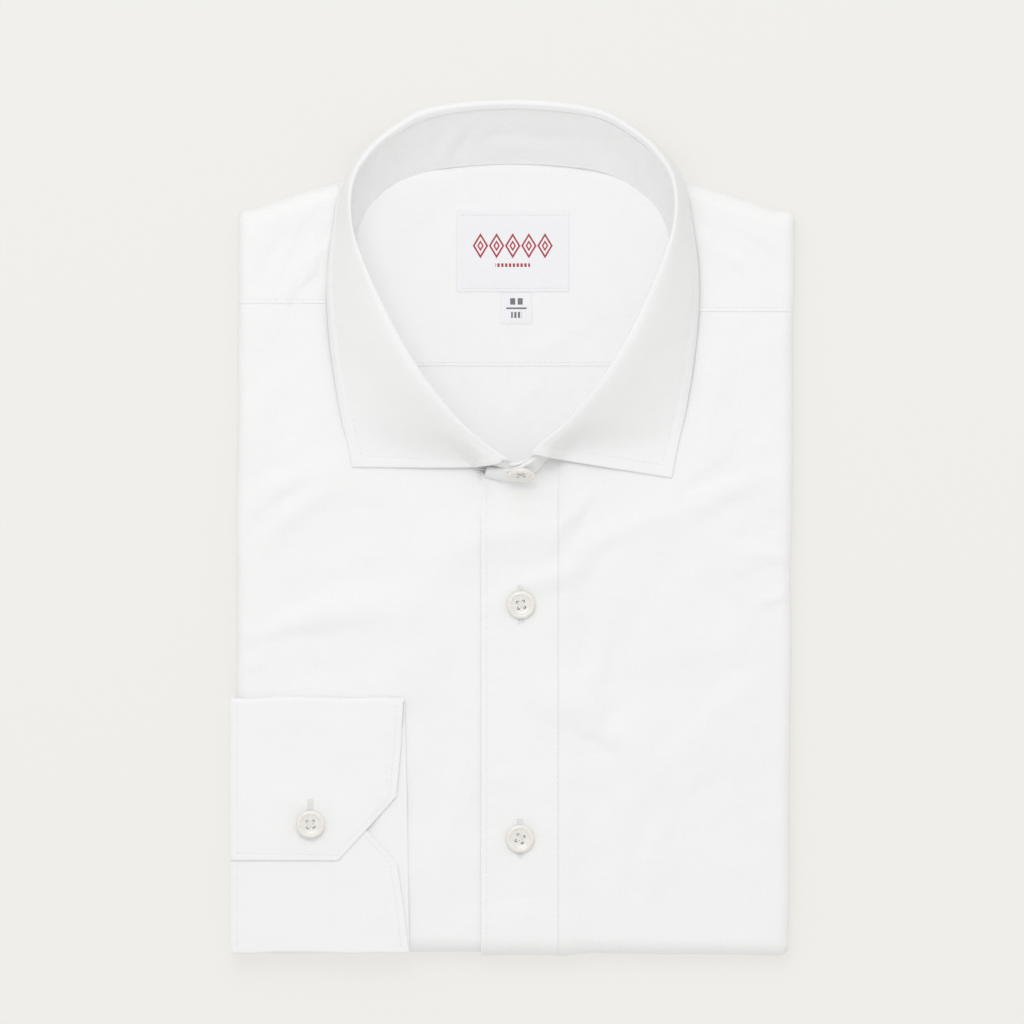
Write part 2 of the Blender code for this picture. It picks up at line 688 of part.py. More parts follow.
def hole_cutter(name, places):
    points, faces = [], []
    for px, py in places:
        start = len(points)
        for z in (-1.0, BUTTON_PROFILE[-2][1] + 1.0):
            for k in range(HOLE_SIDES):
                a = 2.0 * math.pi * k / HOLE_SIDES
                points.append((px + HOLE_RADIUS * math.cos(a), py + HOLE_RADIUS * math.sin(a), z))
        low = [start + k for k in range(HOLE_SIDES)]
        high = [k + HOLE_SIDES for k in low]
        faces += [tuple(low[::-1]), tuple(high)]
        for a, b in zip(low, low[1:] + low[:1]):
            faces.append((a, b, b + HOLE_SIDES, a + HOLE_SIDES))
    cutter = mesh_from(name, points, faces, PEARL, PEARL_ROUGHNESS)
    cutter.hide_render = True
    cutter.display_type = "WIRE"
    return cutter


def button_mesh(name, cutter):
    """A turned button with a raised rim, dished round its four holes."""
    points = [(0.0, 0.0, 0.0)]
    for radius, z in BUTTON_PROFILE:
        for k in range(BUTTON_SIDES):
            a = 2.0 * math.pi * k / BUTTON_SIDES
            points.append((radius * math.cos(a), radius * math.sin(a), z))
    points.append((0.0, 0.0, BUTTON_CENTRE_Z))
    faces = []
    for k in range(BUTTON_SIDES):
        n = (k + 1) % BUTTON_SIDES
        faces.append((0, 1 + n, 1 + k))
        for ring in range(len(BUTTON_PROFILE) - 1):
            a, b = 1 + ring * BUTTON_SIDES + k, 1 + ring * BUTTON_SIDES + n
            faces.append((a, b, b + BUTTON_SIDES, a + BUTTON_SIDES))
        last = 1 + (len(BUTTON_PROFILE) - 1) * BUTTON_SIDES
        faces.append((last + k, last + n, len(points) - 1))
    ob = mesh_from(name, points, faces, PEARL, PEARL_ROUGHNESS)
    cut = ob.modifiers.new("holes", "BOOLEAN")
    cut.operation = "DIFFERENCE"
    cut.object = cutter
    return ob


def button(name, place, tilt):
    """A button whose under side stands at this place, turned about X by tilt."""
    spots = [(sx * HOLE_SPACING, sy * HOLE_SPACING) for sx in (-1, 1) for sy in (-1, 1)]
    cutter = hole_cutter(name + "_holes", spots)
    ob = button_mesh(name, cutter)
    for each in (ob, cutter):
        each.location = [float(c) * MM for c in place]
        each.rotation_euler = (tilt, 0.0, 0.0)


def button_on_front(name, place, height):
    x, y = np.array([place[0]]), np.array([place[1]])
    spot = shape(x, y, height + folds(x, y) + GAP)[0]
    button(name, spot, 0.0)


def button_on_cuff():
    x, y = np.array([CUFF_BUTTON[0]]), np.array([CUFF_BUTTON[1]])
    spot = on_top(x, y, np.array([CUFF_LEVELS[2] + CUFF / 2.0 + GAP]))[0]
    button("button_cuff", spot, 0.0)


def button_on_collar():
    """The collar button stands on the over end of the band and tilts with it."""
    end = named(COLLAR_COLUMNS, LEAF_END[1])
    tip = named(BAND_COLUMNS, OVER_BAND[0])
    share = (COLLAR_BUTTON_X - tip["seam_x"]) / (end["seam_x"] - tip["seam_x"])
    foot = np.array([COLLAR_BUTTON_X, mix(tip["seam_y"], end["seam_y"], share), 0.0])
    foot[2] = core_top(foot[0], foot[1]) + STAND_LIFT
    top = np.array(
        [COLLAR_BUTTON_X, mix(tip["fold_y"], end["fold_y"], share), mix(tip["fold_z"], end["fold_z"], share)]
    )
    rise = top - foot
    out = np.array([0.0, -rise[2], rise[1]]) / math.hypot(rise[1], rise[2])
    spot = mix(foot, top, COLLAR_BUTTON_SHARE) + out * (STAND / 2.0 + COLLAR_BUTTON_SHANK)
    button("button_collar", spot, math.atan2(rise[2], rise[1]))


def main():
    remove_all()
    folded_layers()
    front_right()
    front_left()
    placket()
    yoke("yoke_right", -1)
    yoke("yoke_left", 1)
    inner_yoke()
    back_inside()
    collar_stand()
    collar_fall()
    cuff()
    sleeve_wrap()
    label("brand_label", BRAND_LABEL)
    label("size_tab", SIZE_TAB)
    button_on_front("button_chest", CHEST_BUTTON, PLACKET_TOP)
    button_on_front("button_belly", BELLY_BUTTON, PLACKET_TOP)
    button_on_cuff()
    button_on_collar()


main()
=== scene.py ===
"""Looks of the folded dress shirt: cloth, seams, stitches, buttons, labels and the studio round it.

The frame's parts are the fixed guide. Every cloth panel is laid again as a fine wall with rounded
rims, worked out from the shirt's own sizes, in millimetres, and turned into metres by place_mesh.
+X is to the right of a person who looks down at the shirt, +Y runs to the collar, +Z is up.
"""

import math

import bpy
import numpy as np
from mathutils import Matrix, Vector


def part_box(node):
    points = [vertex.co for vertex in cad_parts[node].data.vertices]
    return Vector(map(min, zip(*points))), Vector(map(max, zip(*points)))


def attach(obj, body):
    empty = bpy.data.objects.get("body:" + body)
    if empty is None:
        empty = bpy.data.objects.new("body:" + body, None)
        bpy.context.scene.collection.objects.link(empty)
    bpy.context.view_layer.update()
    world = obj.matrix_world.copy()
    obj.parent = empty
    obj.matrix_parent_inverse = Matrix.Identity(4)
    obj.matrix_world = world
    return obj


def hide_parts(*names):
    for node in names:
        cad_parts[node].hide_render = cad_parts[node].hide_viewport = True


bl_info = {
    "name": "Folded dress shirt",
    "version": (1, 0, 0),
    "blender": (4, 5, 0),
    "location": "3D View > Sidebar > Shirt",
    "description": "Builds the cloth, stitches, buttons and labels of a folded dress shirt",
    "category": "Object",
}

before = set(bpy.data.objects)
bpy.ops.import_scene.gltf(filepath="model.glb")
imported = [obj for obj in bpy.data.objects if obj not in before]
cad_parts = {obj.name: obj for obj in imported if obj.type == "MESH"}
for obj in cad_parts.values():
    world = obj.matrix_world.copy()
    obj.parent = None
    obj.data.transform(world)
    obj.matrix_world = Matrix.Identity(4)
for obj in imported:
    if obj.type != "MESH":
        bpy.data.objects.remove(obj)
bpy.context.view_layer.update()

MM = 0.001
BODY = "root"

# Outline of the folded body, at the outer face of the cloth
BOTTOM_EDGE_LEFT = -176.8
BOTTOM_EDGE_RIGHT = -178.0
SIDE_EDGE = {-1: (115.5, 114.0), 1: (114.6, 117.05)}  # half widths at the bottom fold and the shoulder
SHOULDER_Y = 130.0
FLAT_HALF_WIDTH = 109.0
COLLAR_FOOT_X = 68.0
NAPE_Y = 156.0
NAPE_FALL = 11.5
SHOULDER_SLOPE = 0.25
SHOULDER_CURVE = 0.0014

# Thickness of the stack of folded layers
EDGE_HEIGHT = 12.6
CROWN = 1.6
CROWN_HALF_WIDTH = 110.0
NECK_DISH_DEPTH = 4.0
NECK_DISH_RADIUS = 38.0
NECK_DISH_Y = 95.0

# Rounding of the folded edges: the sides turn in over the lower folds, the ends turn to the surface
SIDE_RADIUS, SIDE_TURN = 3.6, 150.0
END_TURN = 180.0
TURN_LENGTH = 12.0
SIDE_TUCK, END_TUCK = 2.5, 8.0
CORNER_SHARPNESS = 0.12
SETTLE_SHARE = 0.6  # share of the turn by which creases have died away
FLOOR_CLEAR = 0.05  # the outer face comes no lower than this

# Cloth, as heights over the folded layers
GAP = 0.3
PANEL_TOP = 1.5
PLACKET_BASE, PLACKET_TOP = 1.8, 3.1
SEAM_GAP = 0.03
SEAM_LAP = 1.6
LAP_CLEAR = 0.04
LAP_STEP = 0.3
RIM = 0.6
SEAM_RIM = 0.4
STEP = 1.25

# Placket and seams
PLACKET_LEFT, PLACKET_RIGHT = -13.3, 19.0
BUTTON_BAND_RIGHT = 16.0
PLACKET_HEAD_Y = 17.4
PLACKET_RAMP = 15.0
PLACKET_INSET, PLACKET_INSET_WIDTH = 1.3, 45.0
PLACKET_MIDDLE = (PLACKET_LEFT + PLACKET_RIGHT) / 2.0
PLACKET_SOFTNESS = 12.0
YOKE_SEAM_Y = {-1: 93.0, 1: 89.6}
YOKE_LIFT = 0.34
NECK_POINT_Y = 136.0
SEAM_MARGIN = 0.5
INNER_YOKE_SEAM_Y = 67.0
INNER_YOKE_TOP_Y = 149.6
NAPE_SHIFT_Y = 120.0
BACK_INSIDE_Y = 22.6
INSIDE_FRONT_Y, INSIDE_FRONT_HALF_WIDTH = 28.5, (2.5, 14.0)
NECK_START_Y = 29.5
FRONT_MIDDLE_X = 60.0
BOTTOM_SHIFT_REACH = 60.0

# Creases of the fronts: middle, direction in degrees, half length, half width,
# height (below zero for a trough), and how far the steeper side leans
CREASE_COLUMNS = ("x", "y", "angle", "length", "width", "height", "lean")
FRONT_CREASES = (
    (3.0, -1.0, 4.0, 26.0, 11.0, 1.3, 0.0),
    (13.0, -22.5, 20.0, 22.0, 5.0, 0.62, 0.3),
    (24.0, 6.0, 52.0, 15.0, 4.0, 0.5, 0.5),
    (33.0, 4.0, 44.0, 17.0, 4.0, -0.5, 0.3),
    (40.0, -4.0, 30.0, 20.0, 4.5, 0.42, 0.0),
    (34.0, -18.0, 62.0, 16.0, 4.5, -0.34, 0.0),
    (-92.0, -48.0, 13.0, 27.0, 4.2, -0.42, 0.4),
    (-86.0, -37.0, 15.0, 26.0, 4.6, 0.34, 0.2),
    (-84.0, -26.0, 17.0, 30.0, 4.6, -0.32, 0.3),
    (-98.0, -61.0, 7.0, 19.0, 3.4, -0.34, 0.5),
    (-70.0, -38.0, 14.0, 36.0, 9.0, 0.6, 0.0),
    (-96.0, 9.5, 39.0, 13.0, 3.4, -0.6, 0.5),
    (-91.0, 5.0, 41.0, 14.0, 3.8, 0.36, 0.0),
    (-104.0, 22.0, 30.0, 11.0, 3.5, -0.3, 0.0),
    (-88.0, 18.0, 40.0, 20.0, 8.0, 0.6, 0.0),
    (-76.0, 36.0, 52.0, 18.0, 5.0, -0.3, 0.2),
    (-101.0, 55.0, 70.0, 20.0, 5.0, 0.28, 0.0),
    (-94.0, 70.0, 35.0, 12.0, 4.0, -0.3, 0.0),
    (-60.0, 2.0, -18.0, 20.0, 6.0, -0.28, 0.0),
    (-38.0, -30.0, 66.0, 30.0, 8.0, 0.3, 0.0),
    (-28.0, -74.0, 80.0, 36.0, 7.0, -0.28, 0.0),
    (-30.0, -140.0, 84.0, 30.0, 6.0, 0.28, 0.0),
    (70.0, 12.0, 28.0, 26.0, 9.0, 0.6, 0.0),
    (84.0, 21.0, 29.0, 18.0, 4.0, -0.5, 0.5),
    (88.0, 14.0, 27.0, 18.0, 4.0, 0.34, 0.0),
    (96.0, 34.0, 62.0, 16.0, 4.0, -0.34, 0.3),
    (84.0, 58.0, 75.0, 24.0, 5.5, 0.26, 0.0),
    (108.0, -12.0, -14.0, 11.0, 2.8, 0.38, 0.3),
    (107.0, -20.0, 8.0, 11.0, 2.8, -0.38, 0.3),
    (109.0, -29.0, 15.0, 9.0, 2.4, 0.3, 0.0),
    (104.0, 1.0, 24.0, 14.0, 3.6, -0.3, 0.0),
    (42.0, -85.0, -40.0, 24.0, 10.0, 0.6, 0.0),
    (31.0, -91.0, -14.0, 12.0, 3.6, -0.55, 0.5),
    (42.0, -78.0, 55.0, 14.0, 4.5, -0.36, 0.3),
    (34.0, -60.0, 78.0, 24.0, 5.0, 0.32, 0.2),
    (46.0, -52.0, 70.0, 26.0, 5.0, -0.3, 0.0),
    (51.0, -148.0, 86.0, 20.0, 3.8, -0.42, 0.3),
    (60.0, -128.0, 60.0, 20.0, 5.0, 0.28, 0.0),
    (84.0, -110.0, 24.0, 26.0, 6.0, -0.26, 0.0),
    (92.0, -70.0, 38.0, 26.0, 6.0, 0.26, 0.0),
    (70.0, -62.0, 12.0, 24.0, 6.0, -0.24, 0.0),
    (98.0, -142.0, -32.0, 20.0, 5.0, 0.24, 0.0),
    (2.0, -84.0, 0.0, 22.0, 7.0, -0.3, 0.0),
    (4.0, -104.0, 10.0, 22.0, 7.0, 0.28, 0.0),
    (0.0, -150.0, -8.0, 22.0, 7.0, -0.28, 0.0),
)
SHOULDER_CREASES = (
    (-88.0, 117.0, 66.0, 12.0, 2.8, -0.55, 0.5),
    (-83.0, 111.0, 58.0, 11.0, 2.8, 0.42, 0.0),
    (-92.0, 104.0, 74.0, 10.0, 2.5, 0.4, 0.2),
    (-86.0, 98.0, 48.0, 9.0, 2.4, -0.42, 0.3),
    (-79.0, 122.0, 76.0, 10.0, 2.6, -0.34, 0.0),
    (-100.0, 112.0, 60.0, 12.0, 3.4, -0.28, 0.0),
    (99.0, 114.0, -44.0, 13.0, 3.0, -0.62, 0.5),
    (94.0, 110.0, -42.0, 12.0, 3.4, 0.36, 0.0),
    (106.0, 119.0, -38.0, 9.0, 2.8, 0.3, 0.0),
    (84.0, 122.0, -58.0, 12.0, 3.4, -0.3, 0.0),
)
INSIDE_CREASES = (
    (-30.0, 120.0, 70.0, 20.0, 6.0, -0.4, 0.0),
    (32.0, 112.0, -64.0, 20.0, 6.0, -0.35, 0.0),
    (-6.0, 88.0, 84.0, 12.0, 4.0, -0.35, 0.3),
    (14.0, 76.0, 30.0, 16.0, 4.0, 0.3, 0.0),
    (-16.0, 60.0, -58.0, 18.0, 4.5, -0.4, 0.3),
    (4.0, 52.0, 50.0, 16.0, 4.0, 0.35, 0.3),
)
CREASE_HEIGHT = 2.0  # times the heights of the creases and of the unevenness
CREASE_DEPTH = 1.4  # times the creases alone
# The cloth lies even under each front button: x, y and height there
BUTTON_SEATS = ((3.3, -32.0, 0.42), (2.9, -129.0, 0.03))
BUTTON_SEAT_REACH = 8.0
CUFF_COVER = (-42.0, -69.0)
LOWEST_RELIEF = -0.27
HEAD_DROP_START, HEAD_DROP_LENGTH = 2.0, 15.0
PLACKET_HEAD_DROP = 1.5
# Gentle unevenness: wavelength and height, from long swells to small rumples
UNEVENNESS = ((85.0, 0.30), (48.0, 0.20), (26.0, 0.11), (14.0, 0.045), (7.5, 0.016))
WAVES_EACH = 5
CREASE_BEND = 0.35
EDGE_WOBBLE = 0.35

# Half of the collar, from the middle of the back to where the leaf ends in front: the seam on the
# neckline, the fold line, the outer edge of the fall, and how far the fall rolls out past its fold
COLLAR_BACK = (0.0, 151.0, 0.0, 176.4, 36.0, 0.0, 173.5, 2.2, 2.0)
COLLAR_HALF = (
    (30.0, 149.0, 33.0, 173.2, 36.0, 34.0, 170.5, 2.6, 2.0),
    (45.0, 144.5, 50.2, 164.6, 36.0, 52.0, 163.0, 4.5, 1.6),
    (55.0, 138.0, 61.2, 154.4, 36.0, 64.0, 154.0, 8.0, 1.2),
    (62.0, 130.0, 67.0, 143.0, 36.0, 71.0, 141.5, 14.2, 0.6),
    (65.5, 118.0, 67.3, 127.0, 36.5, 74.5, 124.0, 16.3, 0.0),
    (63.0, 103.0, 62.0, 109.0, 38.0, 77.0, 104.0, 16.4, 0.0),
    (53.5, 81.0, 50.5, 83.5, 39.0, 76.5, 84.0, 16.4, 0.0),
    (41.0, 60.0, 37.5, 62.0, 37.6, 74.5, 66.0, 16.4, 0.0),
    (26.0, 40.0, 22.5, 44.0, 34.2, 71.5, 47.0, 16.4, 0.0),
    (14.0, 28.5, 11.0, 34.0, 31.3, 68.5, 34.0, 16.4, 0.0),
)
LEAF_END = {
    -1: (-2.0, 21.9, -2.0, 27.8, 30.0, -66.7, 25.0, 16.4, 0.0),
    1: (9.0, 23.2, 8.5, 30.0, 30.0, 66.0, 20.5, 16.4, 0.0),
}
UNDER_BAND = ((6.0, 22.8, 5.0, 29.0, 28.5), (13.0, 27.2, 11.5, 32.4, 25.0))
OVER_BAND = ((0.0, 19.2, 0.0, 25.6, 28.8), (-12.0, 21.5, -10.5, 26.0, 24.0))
STAND_LIFT = 1.56
COLLAR_CLOTH = 1.2
LEAF_RISE = 0.35
LEAF_SHOULDER_DROP = 4.0
LEAF_END_DROP, LEAF_END_REACH = 14.0, 45.0  # the leaves sink towards their front ends
ROLL, ROLL_FRONT = 1.3, 3.0
ROLL_SHARE = 0.6
SEAM_BELOW_FOLD = 2.8
STAND_BELOW_SEAM = 0.04
STAND_BULGE = 0.9
FOLD_DRAW_IN = 0.005
LEAF_STITCH = 5.0
LEAF_EDGE_PUFF = 0.14
LEAF_STITCH_DIP = 0.2
LEAF_CLEAR = 0.1
LEAF_SETTLE, LEAF_SETTLE_HEIGHT = 1.2, 9.0
LEAF_BOW = {-1: 2.7, 1: 0.3}  # how far the bottom edge of each leaf bows towards the hem
LEAF_BOW_REACH = 14.0
# Changes along the fold line, from a leaf's end: where each begins, and over what length
ROLL_CHANGE, FRONT_CHANGE = (40.0, 70.0), (60.0, 60.0)
FRONT_LEVEL = 0.35
FOLD_SINK = 0.3
INNER_ROLL_SHARE = 0.6
# Where the leaves lie on the body, and the band's end that they pass over
LEAF_BODY_Y = 136.0
YOKE_LIFT_Y = 88.0
BAND_END_X, BAND_END_TOP, BAND_END_REACH, BAND_END_SLOPE = -4.0, 25.4, 8.5, 2.4
LEAF_END_SETTLE, LEAF_END_SETTLE_REACH, LEAF_END_SETTLE_FROM = 0.85, 13.0, (4.0, 11.0)
DENSE = 24

# Cuff: a flattened loop, as rows along its cloth from the under end to the over end
CUFF_LEFT_X, CUFF_HIDDEN_LEFT_X = -117.2, -113.3
CUFF_LEVELS = (2.25, 3.35, 4.45)  # middle of the back half, the under end and the over end
CUFF, CUFF_RIM = 1.0, 0.45
CUFF_LEFT_CURL = 0.8
# Changes along the cuff's cloth, across it, and down from its top fold: start and length
CUFF_SHOWN_FROM, CUFF_HIDDEN_FROM = (18.5, 4.0), (177.0, 3.0)
CUFF_OFF_UNDERLAP, CUFF_OFF_FOLD = (-60.5, 6.0), (76.0, 10.0)
CUFF_BULGE, CUFF_BULGE_REACH = 0.7, 26.0  # the over end is fuller round its button
CUFF_UNDER_END = ((-112.5, -73.0), (-126.0, -60.2), (-139.0, -48.2), (-158.0, -45.2), (-175.4, -43.2))
CUFF_BACK = ((-175.4, -43.0), (-150.0, -43.3), (-125.0, -43.7), (-98.0, -44.2), (-72.4, -44.8))
CUFF_OVER_END = ((-72.4, -45.5), (-92.0, -46.5), (-111.6, -48.3), (-125.0, -60.4), (-138.2, -72.6))
CUFF_STITCH = 3.0
OVER_END_RUN = 66.0  # length of cloth from the top fold to the over end's edge, about
CUFF_BUTTON = (-84.0, -123.0)

# Sleeve round the side, from the cuff down to the surface and in under the shirt
SLEEVE_PROFILE = (
    (-113.6, 15.1),
    (-115.0, 15.0),
    (-116.0, 14.0),
    (-116.4, 12.2),
    (-116.5, 8.6),
    (-116.3, 4.4),
    (-115.6, 1.7),
    (-114.0, 0.7),
)
SLEEVE_STEP = 1.4  # lower where it leaves the cuff's under end
SLEEVE = 1.1
SLEEVE_TOP_Y, SLEEVE_BOTTOM_Y = -72.0, -175.2
SLEEVE_PLEATS = ((-84.0, 3.0, 0.7), (-103.0, 4.0, 0.9), (-131.0, 3.2, 0.75), (-160.0, 4.2, 0.6))

# Edges of the lower folds at the sides: middle height, half thickness, inset from the outer face
LOWER_FOLDS = ((3.62, 0.72, 1.6), (2.16, 0.66, 0.7), (0.72, 0.72, 1.9))
LOWER_FOLD_DRIFT = 1.1

# Buttons
BUTTON_PROFILE = (
    (0.0, 0.0), (3.9, 0.0), (4.8, 0.12), (5.5, 0.55), (5.8, 1.05), (5.74, 1.5), (5.45, 1.95),
    (5.0, 2.18), (4.6, 2.2), (4.25, 2.05), (3.95, 1.78), (3.5, 1.6), (2.4, 1.5), (1.1, 1.46), (0.0, 1.45),
)
BUTTON_SIDES = 72
HOLE_RADIUS, HOLE_SPACING, HOLE_SIDES = 0.62, 1.3, 20
COLLAR_BUTTON_X = 3.3
BUTTON_LIFT, BUTTON_FACES = 0.25, (0.03, -0.05, 1.0)
COLLAR_BUTTON_SHARE = 0.65
COLLAR_BUTTON_SHANK = 1.8
BUTTONHOLE_LENGTH, BUTTONHOLE_WIDTH = 16.0, 2.6

# Labels
LABEL_BASE, LABEL_TOP = 1.54, 1.8
LABEL_RIM = 0.2


def mix(a, b, t):
    return a + (b - a) * t


def ease(t):
    t = np.clip(t, 0.0, 1.0)
    return t * t * (3.0 - 2.0 * t)


def ripple(along, wavelength):
    return np.sin(along * 2.0 * math.pi / wavelength)


def swell(distance, width):
    """A soft swell: one in its middle, and nearly nought at twice its width."""
    return np.exp(-((distance / width) ** 2))


def spaced(start, end, step, rim=0.0):
    """Values from start to end about a step apart, closer together where a rim rounds off."""
    length = abs(end - start)
    count = max(int(math.ceil((length - 2.0 * rim) / step)), 2)
    inner = np.linspace(rim, length - rim, count + 1)
    if rim > 0.0:
        near = rim * np.array([0.0, 0.07, 0.25, 0.55])
        inner = np.concatenate([near, inner, length - near[::-1]])
    return start + math.copysign(1.0, end - start) * inner


def waves(seed, x, y):
    """Seeded gentle unevenness, as a sum of waves in many directions."""
    draw = np.random.default_rng(seed)
    total = np.zeros(np.broadcast(x, y).shape)
    for wavelength, height in UNEVENNESS:
        for _ in range(WAVES_EACH):
            angle, phase = draw.uniform(0.0, 2.0 * math.pi, 2)
            size = wavelength * draw.uniform(0.75, 1.3)
            share = draw.uniform(0.4, 1.0) / math.sqrt(WAVES_EACH)
            run = (x * math.cos(angle) + y * math.sin(angle)) * 2.0 * math.pi / size
            total = total + height * share * np.sin(run + phase)
    return total


def wobble(seed, along, wavelength):
    """A seeded wandering line: one value for each place along an edge."""
    draw = np.random.default_rng(seed)
    total = np.zeros_like(along)
    for share in (1.0, 0.6, 0.35):
        size = wavelength * share * draw.uniform(0.8, 1.2)
        total = total + share * np.sin(along * 2.0 * math.pi / size + draw.uniform(0.0, 6.28))
    return total / 1.95


def creases(rows, x, y):
    """Height of all the creases of a table at each place."""
    height = np.zeros(np.broadcast(x, y).shape)
    for row in rows:
        crease = dict(zip(CREASE_COLUMNS, row))
        angle = math.radians(crease["angle"])
        from_x, from_y = x - crease["x"], y - crease["y"]
        along = (from_x * math.cos(angle) + from_y * math.sin(angle)) / crease["length"]
        across = (from_y * math.cos(angle) - from_x * math.sin(angle)) / crease["width"]
        across = across + CREASE_BEND * along**2
        skew = 1.0 + crease["lean"] * np.tanh(across)
        height += crease["height"] * skew * np.exp(-(along**2) - across**2)
    return height


def past(place, change):
    """How far a change has come at a place: change holds where it begins and its length."""
    return ease((place - change[0]) / change[1])


def side_edge(side, y):
    """Half width of the folded body on one side."""
    low, high = SIDE_EDGE[side]
    straight = mix(low, high, (y - BOTTOM_EDGE_LEFT) / (SHOULDER_Y - BOTTOM_EDGE_LEFT))
    return straight + EDGE_WOBBLE * wobble(11 + side, y, 95.0)


def bottom_edge(x):
    """The bottom fold, set in under the placket so that the thicker cloth there keeps in line."""
    inset = PLACKET_INSET * swell(x - PLACKET_MIDDLE, PLACKET_INSET_WIDTH)
    straight = mix(BOTTOM_EDGE_LEFT, BOTTOM_EDGE_RIGHT, (x + 115.0) / 230.0) + inset
    return straight + EDGE_WOBBLE * wobble(21, x, 110.0)


def top_edge(x):
    """The shoulder line on each side, and the line across the nape that the collar hides."""
    reach = np.abs(x)
    past = np.maximum(reach - COLLAR_FOOT_X, 0.0)
    nape = NAPE_Y - NAPE_FALL * (np.minimum(reach, COLLAR_FOOT_X) / COLLAR_FOOT_X) ** 2
    return nape - SHOULDER_SLOPE * past - SHOULDER_CURVE * past**2


def core_top(x, y):
    """Height of the folded layers under the cloth that shows: a low crown, dished inside the neck."""
    dish = np.exp(-(x**2 + (y - NECK_DISH_Y) ** 2) / (2.0 * NECK_DISH_RADIUS**2))
    return EDGE_HEIGHT + CROWN * (1.0 - (x / CROWN_HALF_WIDTH) ** 2) - NECK_DISH_DEPTH * dish


def end_radius(x):
    """Radius of the end folds, so that the cloth ends on the surface, the thicker placket too."""
    near = ease(1.0 - (np.abs(x - PLACKET_MIDDLE) - (PLACKET_RIGHT - PLACKET_MIDDLE)) / PLACKET_SOFTNESS)
    crown = EDGE_HEIGHT + CROWN * (1.0 - (x / CROWN_HALF_WIDTH) ** 2)
    return (crown - mix(PANEL_TOP, PLACKET_TOP, near)) / 2.0 - 0.1


def limits(x, y):
    """The place on the flat top nearest to (x, y), where the rounding of the edges begins."""
    near_x = np.clip(x, -FLAT_HALF_WIDTH, FLAT_HALF_WIDTH)
    low = bottom_edge(near_x) + end_radius(near_x) + PANEL_TOP
    high = top_edge(near_x) - end_radius(near_x) - PANEL_TOP
    cy = np.clip(y, low, high)
    left = -side_edge(-1, cy) + SIDE_RADIUS + PANEL_TOP
    right = side_edge(1, cy) - SIDE_RADIUS - PANEL_TOP
    return np.clip(x, left, right), cy


def edge_frame(x, y):
    """For a place past the flat top: its nearest place there, its way out, and that edge's rounding."""
    cx, cy = limits(x, y)
    ax, ay = x - cx, y - cy
    reach = np.maximum(np.abs(ax), np.abs(ay))
    safe = np.where(reach > 0.0, reach, 1.0)
    share_x, share_y = np.abs(ax) / safe, np.abs(ay) / safe
    bearing = np.where(share_x >= share_y, share_y / 2.0, 1.0 - share_x / 2.0)
    theta = bearing * math.pi / 2.0
    sharp = 1.0 + CORNER_SHARPNESS * np.sin(2.0 * theta) ** 2
    out_x = np.sign(ax) * np.cos(theta) * sharp
    out_y = np.sign(ay) * np.sin(theta) * sharp
    blend = ease(bearing)
    radius = mix(SIDE_RADIUS, end_radius(cx), blend)
    turn = mix(SIDE_TURN, END_TURN, blend)
    return cx, cy, out_x, out_y, reach, radius, turn, blend


def shape(x, y, height):
    """The point at this height over the folded layers, for a place on the cloth laid flat.

    Past the flat top the cloth turns round the edge, by TURN_LENGTH of cloth for a whole turn, and
    then runs straight in under the layers.
    """
    x, y = np.broadcast_arrays(np.asarray(x, float), np.asarray(y, float))
    cx, cy, out_x, out_y, reach, radius, turn, _ = edge_frame(x, y)
    angle = np.radians(turn) * np.minimum(reach / TURN_LENGTH, 1.0)
    tuck = np.maximum(reach - TURN_LENGTH, 0.0)
    arm = (radius + height) * np.sin(angle) - tuck
    z = core_top(cx, cy) - radius + (radius + height) * np.cos(angle)
    return np.stack([cx + out_x * arm, cy + out_y * arm, np.maximum(z, FLOOR_CLEAR)], axis=-1)


def settle(x, y):
    """How much of a crease's height is left where the cloth turns round an edge."""
    cx, cy = limits(x, y)
    reach = np.maximum(np.abs(x - cx), np.abs(y - cy))
    return 1.0 - ease(reach / (TURN_LENGTH * SETTLE_SHARE))


def smooth_through(rows, steps):
    """Catmull-Rom curve through the rows, with this many steps from each row to the next."""
    rows = np.asarray(rows, float)
    padded = np.vstack([2.0 * rows[0] - rows[1], rows, 2.0 * rows[-1] - rows[-2]])
    t = (np.arange(steps) / steps)[:, None]
    found = []
    for before, start, end, after in zip(padded, padded[1:], padded[2:], padded[3:]):
        bend = 2.0 * before - 5.0 * start + 4.0 * end - after
        twist = 3.0 * start - before - 3.0 * end + after
        found.append(0.5 * (2.0 * start + (end - before) * t + bend * t**2 + twist * t**3))
    return np.vstack(found + [rows[-1:]])


def run_of(points):
    """Length along a line of points, from its start to each of them."""
    return np.concatenate([[0.0], np.cumsum(np.linalg.norm(np.diff(points, axis=0), axis=-1))])


def at_lengths(points, lengths):
    """Places on a line of points at these lengths from its start."""
    run = run_of(points)
    return np.stack([np.interp(lengths, run, points[:, k]) for k in range(points.shape[1])], axis=-1)


def unit(vectors):
    return vectors / np.maximum(np.linalg.norm(vectors, axis=-1, keepdims=True), 1e-9)


def border_runs(points):
    """Distance of each point of a grid from each border: first and last row, first and last column."""
    found = {}
    for axis, names in ((0, ("first_row", "last_row")), (1, ("first_column", "last_column"))):
        step = np.linalg.norm(np.diff(points, axis=axis), axis=-1)
        pad = [(0, 0), (0, 0)]
        pad[axis] = (1, 0)
        run = np.pad(np.cumsum(step, axis=axis), pad)
        found[names[0]] = run
        found[names[1]] = np.take(run, [-1], axis=axis) - run
    return found


def border_distance(points):
    return np.minimum.reduce(list(border_runs(points).values()))


def rounded(distance, rim):
    near = np.clip(distance / rim, 0.0, 1.0)
    return np.sqrt(1.0 - (1.0 - near) ** 2)


